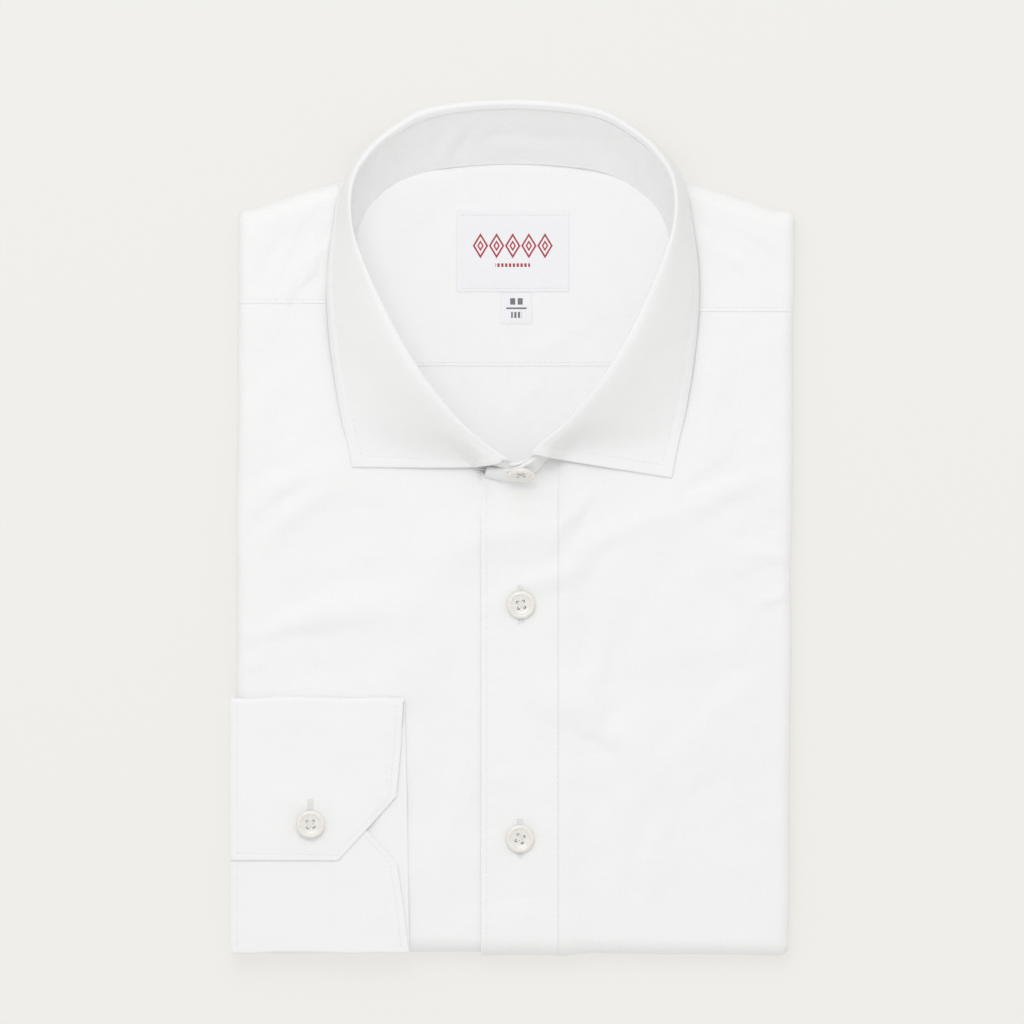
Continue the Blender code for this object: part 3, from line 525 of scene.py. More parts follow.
def rounding(points, rim, flush=()):
    """Shares of half a wall's thickness over and under its middle, at each point of its grid.

    They shrink to nothing at an open border. At a flush border the upper side runs on at full
    height, and the lower side comes up to it.
    """
    runs = border_runs(points)
    over = np.ones(points.shape[:2])
    for border, distance in runs.items():
        if border not in flush:
            over = np.minimum(over, rounded(distance, rim))
    under = over.copy()
    for border in flush:
        under = np.minimum(under, over * (2.0 * rounded(runs[border], rim) - 1.0))
    return over, under


def grid_normals(points):
    normals = np.cross(np.gradient(points, axis=1), np.gradient(points, axis=0))
    return unit(normals)


def place_mesh(name, points, faces, uv, material, sharp=None):
    """An object of these points in millimetres, its faces all of one size, riding on the shirt."""
    faces = np.asarray(faces, np.int32)
    points = np.asarray(points, float) * MM
    corner = points[faces[:, :3]]
    if (corner[:, 0] * np.cross(corner[:, 1], corner[:, 2])).sum() < 0.0:
        faces = faces[:, ::-1]
    sides = faces.shape[1]
    mesh = bpy.data.meshes.new(name)
    mesh.vertices.add(len(points))
    mesh.vertices.foreach_set("co", points.astype(np.float32).ravel())
    mesh.loops.add(faces.size)
    mesh.loops.foreach_set("vertex_index", faces.ravel())
    mesh.polygons.add(len(faces))
    mesh.polygons.foreach_set("loop_start", np.arange(0, faces.size, sides, dtype=np.int32))
    mesh.update(calc_edges=True)
    if mesh.validate():
        raise RuntimeError(f"{name}: the mesh had faulty faces")
    layer = mesh.uv_layers.new(name="cloth")
    layer.data.foreach_set("uv", (np.asarray(uv, float) * MM)[faces.ravel()].astype(np.float32).ravel())
    mesh.shade_smooth()
    if sharp is not None:
        mesh.set_sharp_from_angle(angle=math.radians(sharp))
    mesh.materials.append(material)
    ob = bpy.data.objects.new(name, mesh)
    bpy.context.scene.collection.objects.link(ob)
    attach(ob, BODY)
    return ob


def cells(index):
    """Quads of a grid of point numbers."""
    quads = np.stack([index[:-1, :-1], index[:-1, 1:], index[1:, 1:], index[1:, :-1]], axis=-1)
    return quads.reshape(-1, 4)


def shell(name, upper, lower, uv, material):
    """A closed wall of cloth between two grids of points that share their border."""
    rows, columns = upper.shape[:2]
    top = np.arange(rows * columns).reshape(rows, columns)
    under = top.copy()
    under[1:-1, 1:-1] = rows * columns + np.arange((rows - 2) * (columns - 2)).reshape(rows - 2, -1)
    points = np.vstack([upper.reshape(-1, 3), lower[1:-1, 1:-1].reshape(-1, 3)])
    flat = np.vstack([uv.reshape(-1, 2), uv[1:-1, 1:-1].reshape(-1, 2)])
    faces = np.vstack([cells(top), cells(under)[:, ::-1]])
    return place_mesh(name, points, faces, flat, material)


def panel(name, x, y, low, high, rim=RIM, flush=()):
    """A wall of cloth between two heights over the folded layers, its rims rounded off."""
    middle, half = (low + high) / 2.0, (high - low) / 2.0
    points = shape(x, y, middle)
    over, under = rounding(points, rim, flush)
    upper, lower = shape(x, y, middle + half * over), shape(x, y, middle - half * under)
    made = shell(name, upper, lower, np.stack([x, y], axis=-1), shirt_cloth())
    return made, points


def walled(middle, normals, over, under, thickness):
    """The two faces of a cloth about its middle surface."""
    half = normals * thickness / 2.0
    return middle + half * over[..., None], middle - half * under[..., None]


# --- Materials -------------------------------------------------------------------------------------

SOCKETS = {
    "rough": "Roughness",
    "gloss": "Specular IOR Level",
    "sheen": "Sheen Weight",
    "sheen_rough": "Sheen Roughness",
    "coat": "Coat Weight",
    "coat_rough": "Coat Roughness",
}


def add_node(tree, kind, inputs=None, **settings):
    made = tree.nodes.new(kind)
    for key, value in settings.items():
        setattr(made, key, value)
    for key, value in (inputs or {}).items():
        if isinstance(value, bpy.types.NodeSocket):
            tree.links.new(value, made.inputs[key])
        else:
            made.inputs[key].default_value = value
    return made


def new_material(name):
    material = bpy.data.materials.new(name)
    material.use_nodes = True
    return material, material.node_tree, material.node_tree.nodes["Principled BSDF"]


def calculate(tree, operation, *values):
    return add_node(tree, "ShaderNodeMath", dict(enumerate(values)), operation=operation).outputs[0]


def blend(tree, share, first, second):
    """A colour between two others."""
    return add_node(tree, "ShaderNodeMix", {0: share, 6: first, 7: second}, data_type="RGBA").outputs[2]


def ramp(tree, value, low, high, start=0.0, end=1.0):
    """The value's way from low to high, as a number from start to end."""
    limits_of = {"Value": value, "From Min": low, "From Max": high, "To Min": start, "To Max": end}
    return add_node(tree, "ShaderNodeMapRange", limits_of).outputs["Result"]


def waved(tree, stretch, scale, distortion, detail, direction="X"):
    """Fine bands on the flat cloth."""
    inputs = {"Vector": flat_place(tree, stretch), "Scale": scale, "Distortion": distortion, "Detail": detail}
    return add_node(tree, "ShaderNodeTexWave", inputs, bands_direction=direction).outputs["Fac"]


def surface(tree, shader, tint, height, strength, depth, **values):
    """Gives a shader its colour, its relief and the values that are the same all over."""
    tree.links.new(tint, shader.inputs["Base Color"])
    bump = add_node(tree, "ShaderNodeBump", {"Strength": strength, "Distance": depth, "Height": height})
    tree.links.new(bump.outputs["Normal"], shader.inputs["Normal"])
    for name, value in values.items():
        shader.inputs[SOCKETS[name]].default_value = value


def flat_place(tree, scale):
    """Places on the flat cloth, times a scale along each direction."""
    place = add_node(tree, "ShaderNodeUVMap", uv_map="cloth").outputs["UV"]
    return add_node(
        tree, "ShaderNodeVectorMath", {0: place, 1: scale}, operation="MULTIPLY"
    ).outputs["Vector"]


def noise(tree, scale, detail=2.0, roughness=0.5):
    """Soft noise on the flat cloth, stretched by a scale along each direction."""
    inputs = {"Vector": flat_place(tree, scale), "Scale": 1.0, "Detail": detail, "Roughness": roughness}
    return add_node(tree, "ShaderNodeTexNoise", inputs, noise_dimensions="2D").outputs["Fac"]


def weave_height(tree, pitch):
    """Plain weave: threads that pass over and under each other, one pitch apart."""
    threads = flat_place(tree, (math.pi / pitch, math.pi / pitch, 0.0))
    split = add_node(tree, "ShaderNodeSeparateXYZ", {0: threads})
    warp = calculate(tree, "SINE", split.outputs["X"])
    weft = calculate(tree, "SINE", split.outputs["Y"])
    return calculate(tree, "MULTIPLY", warp, weft)


def weaker(colour, share):
    return tuple(c * share for c in colour) + (1.0,)


def cloth_material(name, colour, pitch, slub, rough=0.86, sheen=0.12):
    """Plain-woven cotton: uneven threads both ways, a faint mottle, and the weave as a bump."""
    material, tree, shader = new_material(name)
    warp = noise(tree, (1500.0, 90.0, 0.0), 3.0, 0.6)
    weft = noise(tree, (90.0, 1700.0, 0.0), 3.0, 0.6)
    threads = calculate(tree, "ADD", warp, weft)
    mottle = noise(tree, (38.0, 46.0, 0.0), 2.0)
    tone = calculate(tree, "MULTIPLY_ADD", mottle, 0.35, calculate(tree, "MULTIPLY", threads, 0.5))
    tint = blend(tree, ramp(tree, tone, 0.35, 1.0), weaker(colour, 1.0 - slub), weaker(colour, 1.0))
    uneven = ramp(tree, threads, 0.6, 1.4, rough - 0.08, rough + 0.08)
    tree.links.new(uneven, shader.inputs["Roughness"])
    weave = calculate(tree, "MULTIPLY", weave_height(tree, pitch), 0.4)
    height = calculate(tree, "MULTIPLY_ADD", threads, 0.9, weave)
    surface(tree, shader, tint, height, 0.5, 0.00012, gloss=0.25, sheen=sheen, sheen_rough=0.45)
    return material


def thread_material(name, colour):
    """Twisted sewing thread, with its ply across each stitch."""
    material, tree, shader = new_material(name)
    ply = waved(tree, (1.0, 1.0, 0.0), 900.0, 1.5, 1.0, "DIAGONAL")
    tint = blend(tree, ply, weaker(colour, 0.93), weaker(colour, 1.0))
    surface(tree, shader, tint, ply, 0.3, 0.00005, rough=0.6, sheen=0.15)
    return material


def pearl_material(name, colour, blush, moss):
    """Shell button: cloudy bands of ivory with a faint blush and a faint green, under a clear gloss."""
    material, tree, shader = new_material(name)
    cloud = noise(tree, (260.0, 420.0, 0.0), 4.0, 0.55)
    drift = noise(tree, (520.0, 300.0, 0.0), 2.0)
    warm = blend(tree, ramp(tree, cloud, 0.48, 0.66), (*colour, 1.0), (*blush, 1.0))
    tint = blend(tree, ramp(tree, drift, 0.5, 0.68), warm, (*moss, 1.0))
    bands = waved(tree, (1.0, 0.4, 0.0), 260.0, 6.0, 2.0)
    surface(tree, shader, tint, bands, 0.12, 0.0001, rough=0.22, gloss=0.6, coat=0.8, coat_rough=0.06)
    return material


def between(tree, value, low, high):
    """One where the value lies between two limits, and nought elsewhere."""
    over = calculate(tree, "GREATER_THAN", value, low)
    under = calculate(tree, "LESS_THAN", value, high)
    return calculate(tree, "MULTIPLY", over, under)


def figured_label(name, ground, figure, mask_of):
    """Satin-woven label: fine ribs across, and a figure woven in a second colour."""
    material, tree, shader = new_material(name)
    ribs = waved(tree, (1.0, 1.0, 0.0), 620.0, 0.6, 1.0, "Y")
    fleck = noise(tree, (1800.0, 500.0, 0.0), 2.0)
    place = add_node(tree, "ShaderNodeUVMap", uv_map="cloth").outputs["UV"]
    split = add_node(tree, "ShaderNodeSeparateXYZ", {0: place})
    across = calculate(tree, "MULTIPLY", split.outputs["X"], 1.0 / MM)
    up = calculate(tree, "MULTIPLY", split.outputs["Y"], 1.0 / MM)
    mask = mask_of(tree, across, up)
    plain = blend(tree, fleck, weaker(ground, 0.95), weaker(ground, 1.0))
    woven = blend(tree, fleck, weaker(figure, 0.8), weaker(figure, 1.1))
    height = calculate(tree, "MULTIPLY_ADD", mask, 0.8, calculate(tree, "MULTIPLY", ribs, 0.5))
    surface(tree, shader, blend(tree, mask, plain, woven), height, 0.4, 0.00012, rough=0.5, sheen=0.1)
    return material


def both(tree, first, second):
    return calculate(tree, "MULTIPLY", first, second)


def lozenge_mask(tree, across, up):
    """A row of five lozenges with a smaller one inside each, and a short dashed line under the row."""
    count, width, tall, row_up = 5, 6.7, 11.0, 2.4
    cell = calculate(tree, "WRAP", across, width / 2.0, -width / 2.0)
    side = calculate(tree, "DIVIDE", calculate(tree, "ABSOLUTE", cell), width / 2.0)
    from_row = calculate(tree, "ABSOLUTE", calculate(tree, "SUBTRACT", up, row_up))
    reach = calculate(tree, "ADD", side, calculate(tree, "DIVIDE", from_row, tall / 2.0))
    rings = calculate(tree, "ADD", between(tree, reach, 0.7, 0.96), between(tree, reach, 0.2, 0.42))
    lozenges = both(tree, rings, between(tree, across, -count * width / 2.0, count * width / 2.0))
    dash = calculate(tree, "LESS_THAN", calculate(tree, "WRAP", across, 1.6, 0.0), 1.0)
    line = both(tree, both(tree, between(tree, across, -7.2, 7.2), dash), between(tree, up, -6.4, -4.9))
    return calculate(tree, "MAXIMUM", lozenges, line)


def bar_mask(tree, across, up):
    """Plain bars above and below a rule."""
    rule = both(tree, between(tree, across, -4.2, 4.2), between(tree, up, -0.35, 0.35))
    over = both(tree, between(tree, across, -2.6, 2.6), between(tree, up, 1.5, 4.2))
    split_over = calculate(tree, "GREATER_THAN", calculate(tree, "ABSOLUTE", across), 0.5)
    under = both(tree, between(tree, across, -2.2, 2.2), between(tree, up, -4.0, -1.5))
    split_under = calculate(tree, "GREATER_THAN", calculate(tree, "WRAP", across, 1.5, 0.0), 0.6)
    bars = calculate(tree, "MAXIMUM", both(tree, over, split_over), both(tree, under, split_under))
    return calculate(tree, "MAXIMUM", rule, bars)


def kept_material(name, make, *values, **settings):
    """The material of this name, made the first time it is asked for."""
    return bpy.data.materials.get(name) or make(name, *values, **settings)


def shirt_cloth():
    look = bpy.context.scene.shirt_cloth
    return kept_material("shirt_poplin", cloth_material, tuple(look.colour), look.thread_pitch, 0.035)


def collar_cloth():
    look = bpy.context.scene.shirt_cloth
    return kept_material("collar_poplin", cloth_material, tuple(look.collar_colour), look.thread_pitch, 0.03)


def sewing_thread():
    return kept_material("sewing_thread", thread_material, tuple(bpy.context.scene.shirt_cloth.thread_colour))


# --- Stitches --------------------------------------------------------------------------------------

STITCH_SIDES = 6
STITCH_RINGS = ((-0.98, 0.45), (-0.72, 0.85), (0.0, 1.0), (0.72, 0.85), (0.98, 0.45))


def stitch_template():
    """One stitch as a short rounded thread of unit half length and unit radius."""
    points = [(-1.08, 0.0, 0.0)]
    for along, radius in STITCH_RINGS:
        for k in range(STITCH_SIDES):
            angle = 2.0 * math.pi * k / STITCH_SIDES
            points.append((along, radius * math.cos(angle), radius * math.sin(angle)))
    points.append((1.08, 0.0, 0.0))
    faces = []
    last = len(points) - 1
    for k in range(STITCH_SIDES):
        n = (k + 1) % STITCH_SIDES
        faces.append((0, 1 + n, 1 + k))
        for ring in range(len(STITCH_RINGS) - 1):
            a, b = 1 + ring * STITCH_SIDES + k, 1 + ring * STITCH_SIDES + n
            faces += [(a, b, b + STITCH_SIDES), (a, b + STITCH_SIDES, a + STITCH_SIDES)]
        end = 1 + (len(STITCH_RINGS) - 1) * STITCH_SIDES
        faces.append((end + k, end + n, last))
    return np.array(points), np.array(faces)


def stitches_on(lines, length, pitch, radius, sink=0.0):
    """Middles, directions, normals and half lengths of the stitches along these lines.

    A line is a pair: its points, and the cloth's normal at each of them.
    """
    found = []
    for points, normals in lines:
        total = run_of(points)[-1]
        count = max(int(total / pitch), 1)
        middles = (np.arange(count) + 0.5) * total / count
        start, end = at_lengths(points, middles - length / 2.0), at_lengths(points, middles + length / 2.0)
        run = run_of(points)
        normal = unit(np.stack([np.interp(middles, run, normals[:, k]) for k in range(3)], axis=-1))
        middle = (start + end) / 2.0 - normal * sink
        half = np.linalg.norm(end - start, axis=-1, keepdims=True) / 2.0
        found.append(np.hstack([middle, unit(end - start), normal, half, np.full_like(half, radius)]))
    return np.vstack(found)


def thread_mesh(name, stitches, flatness=0.7, material=None):
    """All of a seam's stitches as one mesh."""
    template, triangles = stitch_template()
    middle, along, normal = stitches[:, 0:3], stitches[:, 3:6], stitches[:, 6:9]
    half, radius = stitches[:, 9:10], stitches[:, 10:11]
    across = unit(np.cross(normal, along))
    up = np.cross(along, across)
    points = (
        middle[:, None]
        + along[:, None] * (template[None, :, :1] * half[:, None])
        + across[:, None] * (template[None, :, 1:2] * radius[:, None])
        + up[:, None] * (template[None, :, 2:3] * radius[:, None] * flatness)
    )
    count = len(template)
    faces = triangles[None] + (np.arange(len(stitches)) * count)[:, None, None]
    uv = np.tile(template[:, :2], (len(stitches), 1)) + np.repeat(middle[:, :2], count, axis=0)
    material = material or sewing_thread()
    return place_mesh(name, points.reshape(-1, 3), faces.reshape(-1, 3), uv, material)


def seam_stitches(name, lines):
    look = bpy.context.scene.shirt_cloth
    found = stitches_on(lines, look.stitch_length / MM, look.stitch_pitch / MM, look.thread_width / MM / 2.0)
    return thread_mesh(name, found)


def line_on_body(x, y, height):
    """A seam line at this height over the folded layers, with its normals."""
    points = shape(x, y, height)
    return points, unit(shape(x, y, height + 1.0) - points)


def grid_line(upper, lower, row):
    """A line along the columns of a wall at a fractional row, one for each column."""
    low = np.clip(np.floor(row).astype(int), 0, upper.shape[0] - 2)
    share = (row - low)[:, None]
    columns = np.arange(upper.shape[1])
    top = mix(upper[low, columns], upper[low + 1, columns], share)
    bottom = mix(lower[low, columns], lower[low + 1, columns], share)
    return top, unit(top - bottom)


def rows_at(middle, distance, from_end):
    """The fractional row at a distance from the first or the last row, for each column."""
    step = np.linalg.norm(np.diff(middle, axis=0), axis=-1)
    run = np.pad(np.cumsum(step, axis=0), ((1, 0), (0, 0)))
    wanted = run[-1] - distance if from_end else np.full(run.shape[1], float(distance))
    rows = np.arange(run.shape[0])
    return np.array([np.interp(wanted[k], run[:, k], rows) for k in range(run.shape[1])])


def wall_line(walls, distance, from_end, turned=False):
    """A line on a wall's face at a distance from an end: its points, its normals and its run.

    The walls are the upper, the lower and the middle grid; turned asks for their columns' ends.
    """
    upper, lower, middle = (grid.transpose(1, 0, 2) if turned else grid for grid in walls)
    points, normals = grid_line(upper, lower, rows_at(middle, distance, from_end))
    return points, normals, run_of(points)


def satin_hole(name, x, y, surface):
    """A sewn buttonhole along y: close stitches on both sides of its slit, and bars across its ends.

    The surface gives the points and the normals of the cloth at arrays of x and y.
    """
    half = BUTTONHOLE_LENGTH / 2.0
    places = np.arange(-half + 0.6, half - 0.5, 0.36)
    offsets, lengths = [], []
    for side in (-1.0, 1.0):
        for k, place in enumerate(places):
            offsets.append((side * (0.68 + 0.05 * math.sin(k * 2.1 + side)), place))
            lengths.append(0.62)
    for end in (-1.0, 1.0):
        for step in range(3):
            offsets.append((0.0, end * (half - 0.35 * step)))
            lengths.append(BUTTONHOLE_WIDTH / 2.0)
    offsets = np.array(offsets)
    middle, normal = surface(x + offsets[:, 0], y + offsets[:, 1])
    across = unit(np.cross(np.array([0.0, 1.0, 0.0]), normal))
    size = np.column_stack([lengths, np.full(len(lengths), 0.19)])
    return thread_mesh(name, np.hstack([middle, across, normal, size]), flatness=0.5)


def placket_top(x, y):
    return line_on_body(x, y, PLACKET_TOP + placket_lift(x, y) + 0.02)


def cuff_top(x, y):
    centre = np.hypot(x - CUFF_BUTTON[0], y - CUFF_BUTTON[1])
    full = CUFF_BULGE * (1.0 - ease(centre / CUFF_BULGE_REACH))
    soft = 0.55 * waves(17, x, cuff_run(y)) + creases(CUFF_CREASES, x, y)
    points = on_top(x, y, CUFF_LEVELS[2] + CUFF / 2.0 + full + np.maximum(soft, -0.04) + 0.02)
    return points, np.broadcast_to(np.array([0.0, 0.0, 1.0]), points.shape)


def cuff_run(y):
    """Length along the cuff's cloth at a y on its over end."""
    line = cuff_line()
    over = line[line[:, 3] > line[-1, 3] - OVER_END_RUN]
    return np.interp(-y, -over[:, 0], over[:, -1])


# --- Body ------------------------------------------------------------------------------------------


def turn_out(tuck):
    """How far past the flat top each row of a turned edge lies, outermost first."""
    rim = (TURN_LENGTH + tuck) - RIM * np.array([0.0, 0.07, 0.25, 0.55])
    back = np.linspace(TURN_LENGTH + tuck - RIM, TURN_LENGTH, 4)[:-1] if tuck > 1.0 else np.array([])
    round_edge = TURN_LENGTH * np.linspace(1.0, 0.0, 19)[:-1]
    return np.concatenate([rim, back, round_edge])


def side_limit(side, y):
    return limits(np.full_like(y, side * 200.0), y)[0]


def bottom_limit(x):
    return limits(x, np.full_like(x, -300.0))[1]


def top_limit(x):
    return limits(x, np.full_like(x, 300.0))[1]


def neck_curve():
    """The neckline seam from the left of the front, round the back, to the right of the front."""
    half = [row[:2] for row in COLLAR_HALF]
    left = [(-x, y) for x, y in half[::-1]]
    return smooth_through(left + [COLLAR_BACK[:2]] + half, 12)


def neck_side(y):
    """Half width of the neckline at this y, on either side of its widest place."""
    curve = neck_curve()
    curve = curve[curve[:, 0] >= 0.0]
    widest = np.argmax(curve[:, 0])
    front, back = curve[widest:][::-1], curve[: widest + 1][::-1]
    ahead = np.interp(y, front[:, 1], front[:, 0])
    behind = np.interp(y, back[:, 1], back[:, 0])
    return np.where(y < curve[widest, 1], ahead, behind)


def front_edge(side, y):
    """Where a front ends towards the middle: at the placket, and along the neckline above it."""
    neck = side * (neck_side(y) + SEAM_MARGIN)
    if side > 0:
        return np.maximum(neck, PLACKET_RIGHT + SEAM_GAP)
    below = mix(BUTTON_BAND_RIGHT, neck, ease((y - PLACKET_HEAD_Y) / (NECK_START_Y - PLACKET_HEAD_Y)))
    return np.where(y < PLACKET_HEAD_Y, BUTTON_BAND_RIGHT, np.where(y < NECK_START_Y, below, neck))


def front_grid(side):
    """Places of a front's grid, from its side fold in to its front edge and its neckline."""
    top_y = YOKE_SEAM_Y[side] + SEAM_LAP
    low = bottom_limit(np.array([side * FRONT_MIDDLE_X]))[0]
    flat = spaced(low, top_y, STEP, RIM)[4:]
    ys = np.concatenate([low - turn_out(END_TUCK), [low], flat])
    outer = side_limit(side, np.maximum(ys, low))
    inner = front_edge(side, ys)
    share = spaced(0.0, 1.0, STEP / 105.0, RIM / 105.0)[4:]
    turns = turn_out(SIDE_TUCK)
    x = np.hstack([outer[:, None] + side * turns, mix(outer[:, None], inner[:, None], share)])
    y = np.repeat(ys[:, None], x.shape[1], axis=1)
    near = 1.0 - np.clip((y - low) / BOTTOM_SHIFT_REACH, 0.0, 1.0)
    return x, y + (bottom_limit(x) - low) * near


def cloth_relief(x, y, seed, rows):
    """Height of the creases and of the cloth's gentle unevenness."""
    height = CREASE_DEPTH * creases(rows, x, y) + waves(seed, x, y)
    return height * settle(x, y) * CREASE_HEIGHT * bpy.context.scene.shirt_cloth.crease_share


def front_relief(x, y):
    """One relief for both fronts, the yokes and the placket, so that creases run on across seams.

    It settles to even heights under the buttons and dies away under the cuff and the collar band.
    """
    height = cloth_relief(x, y, 5, FRONT_CREASES + SHOULDER_CREASES)
    for button_x, button_y, level in BUTTON_SEATS:
        near = np.exp(-((x - button_x) ** 2 + (y - button_y) ** 2) / BUTTON_SEAT_REACH**2)
        height = mix(height, level, near)
    under_cuff = ease((CUFF_COVER[0] - x) / 5.0) * ease((CUFF_COVER[1] - y) / 5.0)
    height = height * (1.0 - 0.85 * under_cuff) * (1.0 - head_drop(x, y))
    return np.maximum(height, LOWEST_RELIEF)


def inside_relief(x, y):
    """Relief of the inside of the yoke and of the back."""
    return np.maximum(0.8 * cloth_relief(x, y, 7, INSIDE_CREASES), -0.22)


def head_drop(x, y):
    """How far the cloth at the head of the placket has come down to pass under the collar band."""
    reach = 1.0 - ease((np.abs(x - PLACKET_MIDDLE) - 20.0) / 14.0)
    return ease((y - HEAD_DROP_START) / HEAD_DROP_LENGTH) * reach


def placket_ramp(x):
    """How much the left front rises to meet the placket."""
    return 1.0 - ease((x - PLACKET_RIGHT) / PLACKET_RAMP)


def right_front():
    """The wearer's right front; its button band runs on under the placket."""
    x, y = front_grid(-1)
    lift = front_relief(x, y)
    low, high = GAP + lift, PANEL_TOP + lift
    pressed = ease((x - PLACKET_LEFT - 0.3) / 1.5) * head_drop(x, y)
    low, high = mix(low, 0.02, pressed), mix(high, 0.28, pressed)
    ob, points = panel("right_front", x, y, low, high)
    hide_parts("front_right")
    return ob, points


def left_front():
    """The wearer's left front, which meets the placket at its stitched edge."""
    x, y = front_grid(1)
    rise = (PLACKET_TOP - PANEL_TOP) * (1.0 - head_drop(x, y))
    lift = front_relief(x, y) + rise * placket_ramp(x)
    pucker = 0.05 * swell(x - PLACKET_RIGHT - 1.6, 1.1) * ripple(y, 5.2)
    lift = lift + pucker * ease((PLACKET_HEAD_Y - y) / 4.0) + seam_dip(x)
    ob, points = panel("left_front", x, y, GAP + lift, PANEL_TOP + lift, flush=("last_column",))
    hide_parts("front_left")
    return ob, points


PLACKET_STITCH_LEFT = PLACKET_LEFT + 2.4
PLACKET_STITCH_RIGHT = PLACKET_RIGHT - 0.5
PLACKET_HEAD = (
    (-13.3, 23.0), (-7.0, 21.2), (0.0, 20.8), (5.0, 22.6), (9.0, 24.8), (14.0, 29.6), (19.0, 34.4),
)


def head_line(x):
    """Where the placket ends, just under the foot of the collar band."""
    places = np.array(PLACKET_HEAD)
    return np.interp(x, places[:, 0], places[:, 1])


def seam_dip(x):
    """The shallow groove along the placket's stitched side."""
    return -0.06 * swell(x - PLACKET_STITCH_RIGHT, 0.8)


def placket_lift(x, y):
    lift = front_relief(x, y) - PLACKET_HEAD_DROP * head_drop(x, y) + seam_dip(x)
    groove = 0.13 * swell(x - PLACKET_STITCH_LEFT, 0.5)
    pucker = 0.07 * ripple(y, 4.6) * swell(x - PLACKET_STITCH_LEFT - 1.5, 1.6)
    return lift - groove + pucker


def placket_band():
    """The buttonhole band, from the bottom fold to the collar stand."""
    low = bottom_limit(np.array([PLACKET_MIDDLE]))[0]
    flat = spaced(low, PLACKET_HEAD_Y, 0.9, RIM)[4:]
    ys = np.concatenate([low - turn_out(END_TUCK), [low], flat])
    xs = spaced(PLACKET_LEFT, PLACKET_RIGHT, 0.8, RIM)
    x, y = np.meshgrid(xs, ys)
    y = y + (head_line(x) - PLACKET_HEAD_Y) * ease((y - 2.0) / (PLACKET_HEAD_Y - 2.0))
    lift = placket_lift(x, y)
    low, high = PLACKET_BASE + lift, PLACKET_TOP + lift
    ob, points = panel("placket_band", x, y, low, high, flush=("last_column",))
    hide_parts("placket")
    return ob, points


def placket_stitches():
    low = bottom_limit(np.array([PLACKET_MIDDLE]))[0]
    ys = np.arange(low - TURN_LENGTH * 0.7, PLACKET_HEAD_Y - 0.8, 0.8)
    lines = []
    for place in (PLACKET_STITCH_LEFT, PLACKET_STITCH_RIGHT):
        xs = np.full_like(ys, place)
        lines.append(line_on_body(xs, ys, PLACKET_TOP + placket_lift(xs, ys) + 0.04))
    return seam_stitches("placket_stitches", lines)


def lapped(past_seam, lift):
    """Lower height of a cloth whose folded edge laps over its neighbour's."""
    return lift + mix(PANEL_TOP + LAP_CLEAR, GAP, ease((past_seam - SEAM_LAP - 0.2) / 0.7))


def shoulder_yoke(name, node, side):
    """The outer yoke over one shoulder, from the front seam round the shoulder fold."""
    seam_y = YOKE_SEAM_Y[side]
    corner = np.full((1, 1), side * FLAT_HALF_WIDTH)
    share = spaced(0.0, 1.0, STEP / 48.0, RIM / 48.0)[:-4, None]
    turns = turn_out(END_TUCK)[::-1, None]
    past = np.vstack([np.zeros_like(share), turns])
    along = np.vstack([share, np.ones_like(turns)])
    inner = side * (neck_side(mix(seam_y, NECK_POINT_Y, along)) + SEAM_MARGIN)
    outer = side_limit(side, mix(seam_y, top_limit(corner), along))
    columns = spaced(0.0, 1.0, STEP / 52.0, RIM / 52.0)[4:]
    x = np.hstack([outer + side * turn_out(SIDE_TUCK), mix(outer, inner, columns)])
    y = mix(seam_y, top_limit(x), along) + past
    lift = front_relief(x, y)
    groove = 0.12 * swell(y - seam_y - 1.7, 0.5)
    pucker = 0.05 * ripple(x, 4.4) * swell(y - seam_y - 3.0, 2.0)
    high = PANEL_TOP + lift + (YOKE_LIFT - groove + pucker) * settle(x, y)
    ob, points = panel(name, x, y, lapped(y - seam_y, lift), high, rim=SEAM_RIM)
    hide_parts(node)
    inner_end, outer_end = neck_side(np.array([seam_y]))[0] + 1.5, FLAT_HALF_WIDTH + 4.0
    xs = side * np.arange(inner_end, outer_end, 0.8)
    ys = np.full_like(xs, seam_y + 1.7)
    height = PANEL_TOP + front_relief(xs, ys) + (YOKE_LIFT - 0.08) * settle(xs, ys)
    return ob, points, [line_on_body(xs, ys, height)]


def nape_line(x):
    """The neckline seam across the nape, as y at each x."""
    curve = neck_curve()
    curve = curve[(curve[:, 1] > 135.0)]
    return np.interp(x, curve[:, 0], curve[:, 1])


def inside_panel(name, node, ys, lap):
    """A panel inside the neck; it narrows in front, under the lapped ends of the collar band."""
    start, end = INSIDE_FRONT_HALF_WIDTH
    in_front = mix(start, end, (ys - BACK_INSIDE_Y) / (INSIDE_FRONT_Y - BACK_INSIDE_Y))
    reach = np.where(ys < INSIDE_FRONT_Y, in_front, neck_side(ys))[:, None] + 0.05
    x = reach * spaced(-1.0, 1.0, STEP / 55.0, RIM / 55.0)
    y = np.repeat(ys[:, None], x.shape[1], axis=1)
    behind = ease((y - NAPE_SHIFT_Y) / (INNER_YOKE_TOP_Y - NAPE_SHIFT_Y))
    y = y + np.maximum(nape_line(x) + 0.05 - INNER_YOKE_TOP_Y, 0.0) * behind
    lift = inside_relief(x, y)
    low = lapped(y - INNER_YOKE_SEAM_Y, lift) if lap else GAP + lift
    high = PANEL_TOP + lift + (LAP_STEP if lap else 0.0)
    ob, points = panel(name, x, y, low, high, rim=SEAM_RIM)
    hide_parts(node)
    return ob, points


def layer_edge(along, number):
    """How far in each lower fold's edge lies at a place round the shirt."""
    return LOWER_FOLD_DRIFT * wobble(40 + number, along, 120.0 - 17.0 * number)


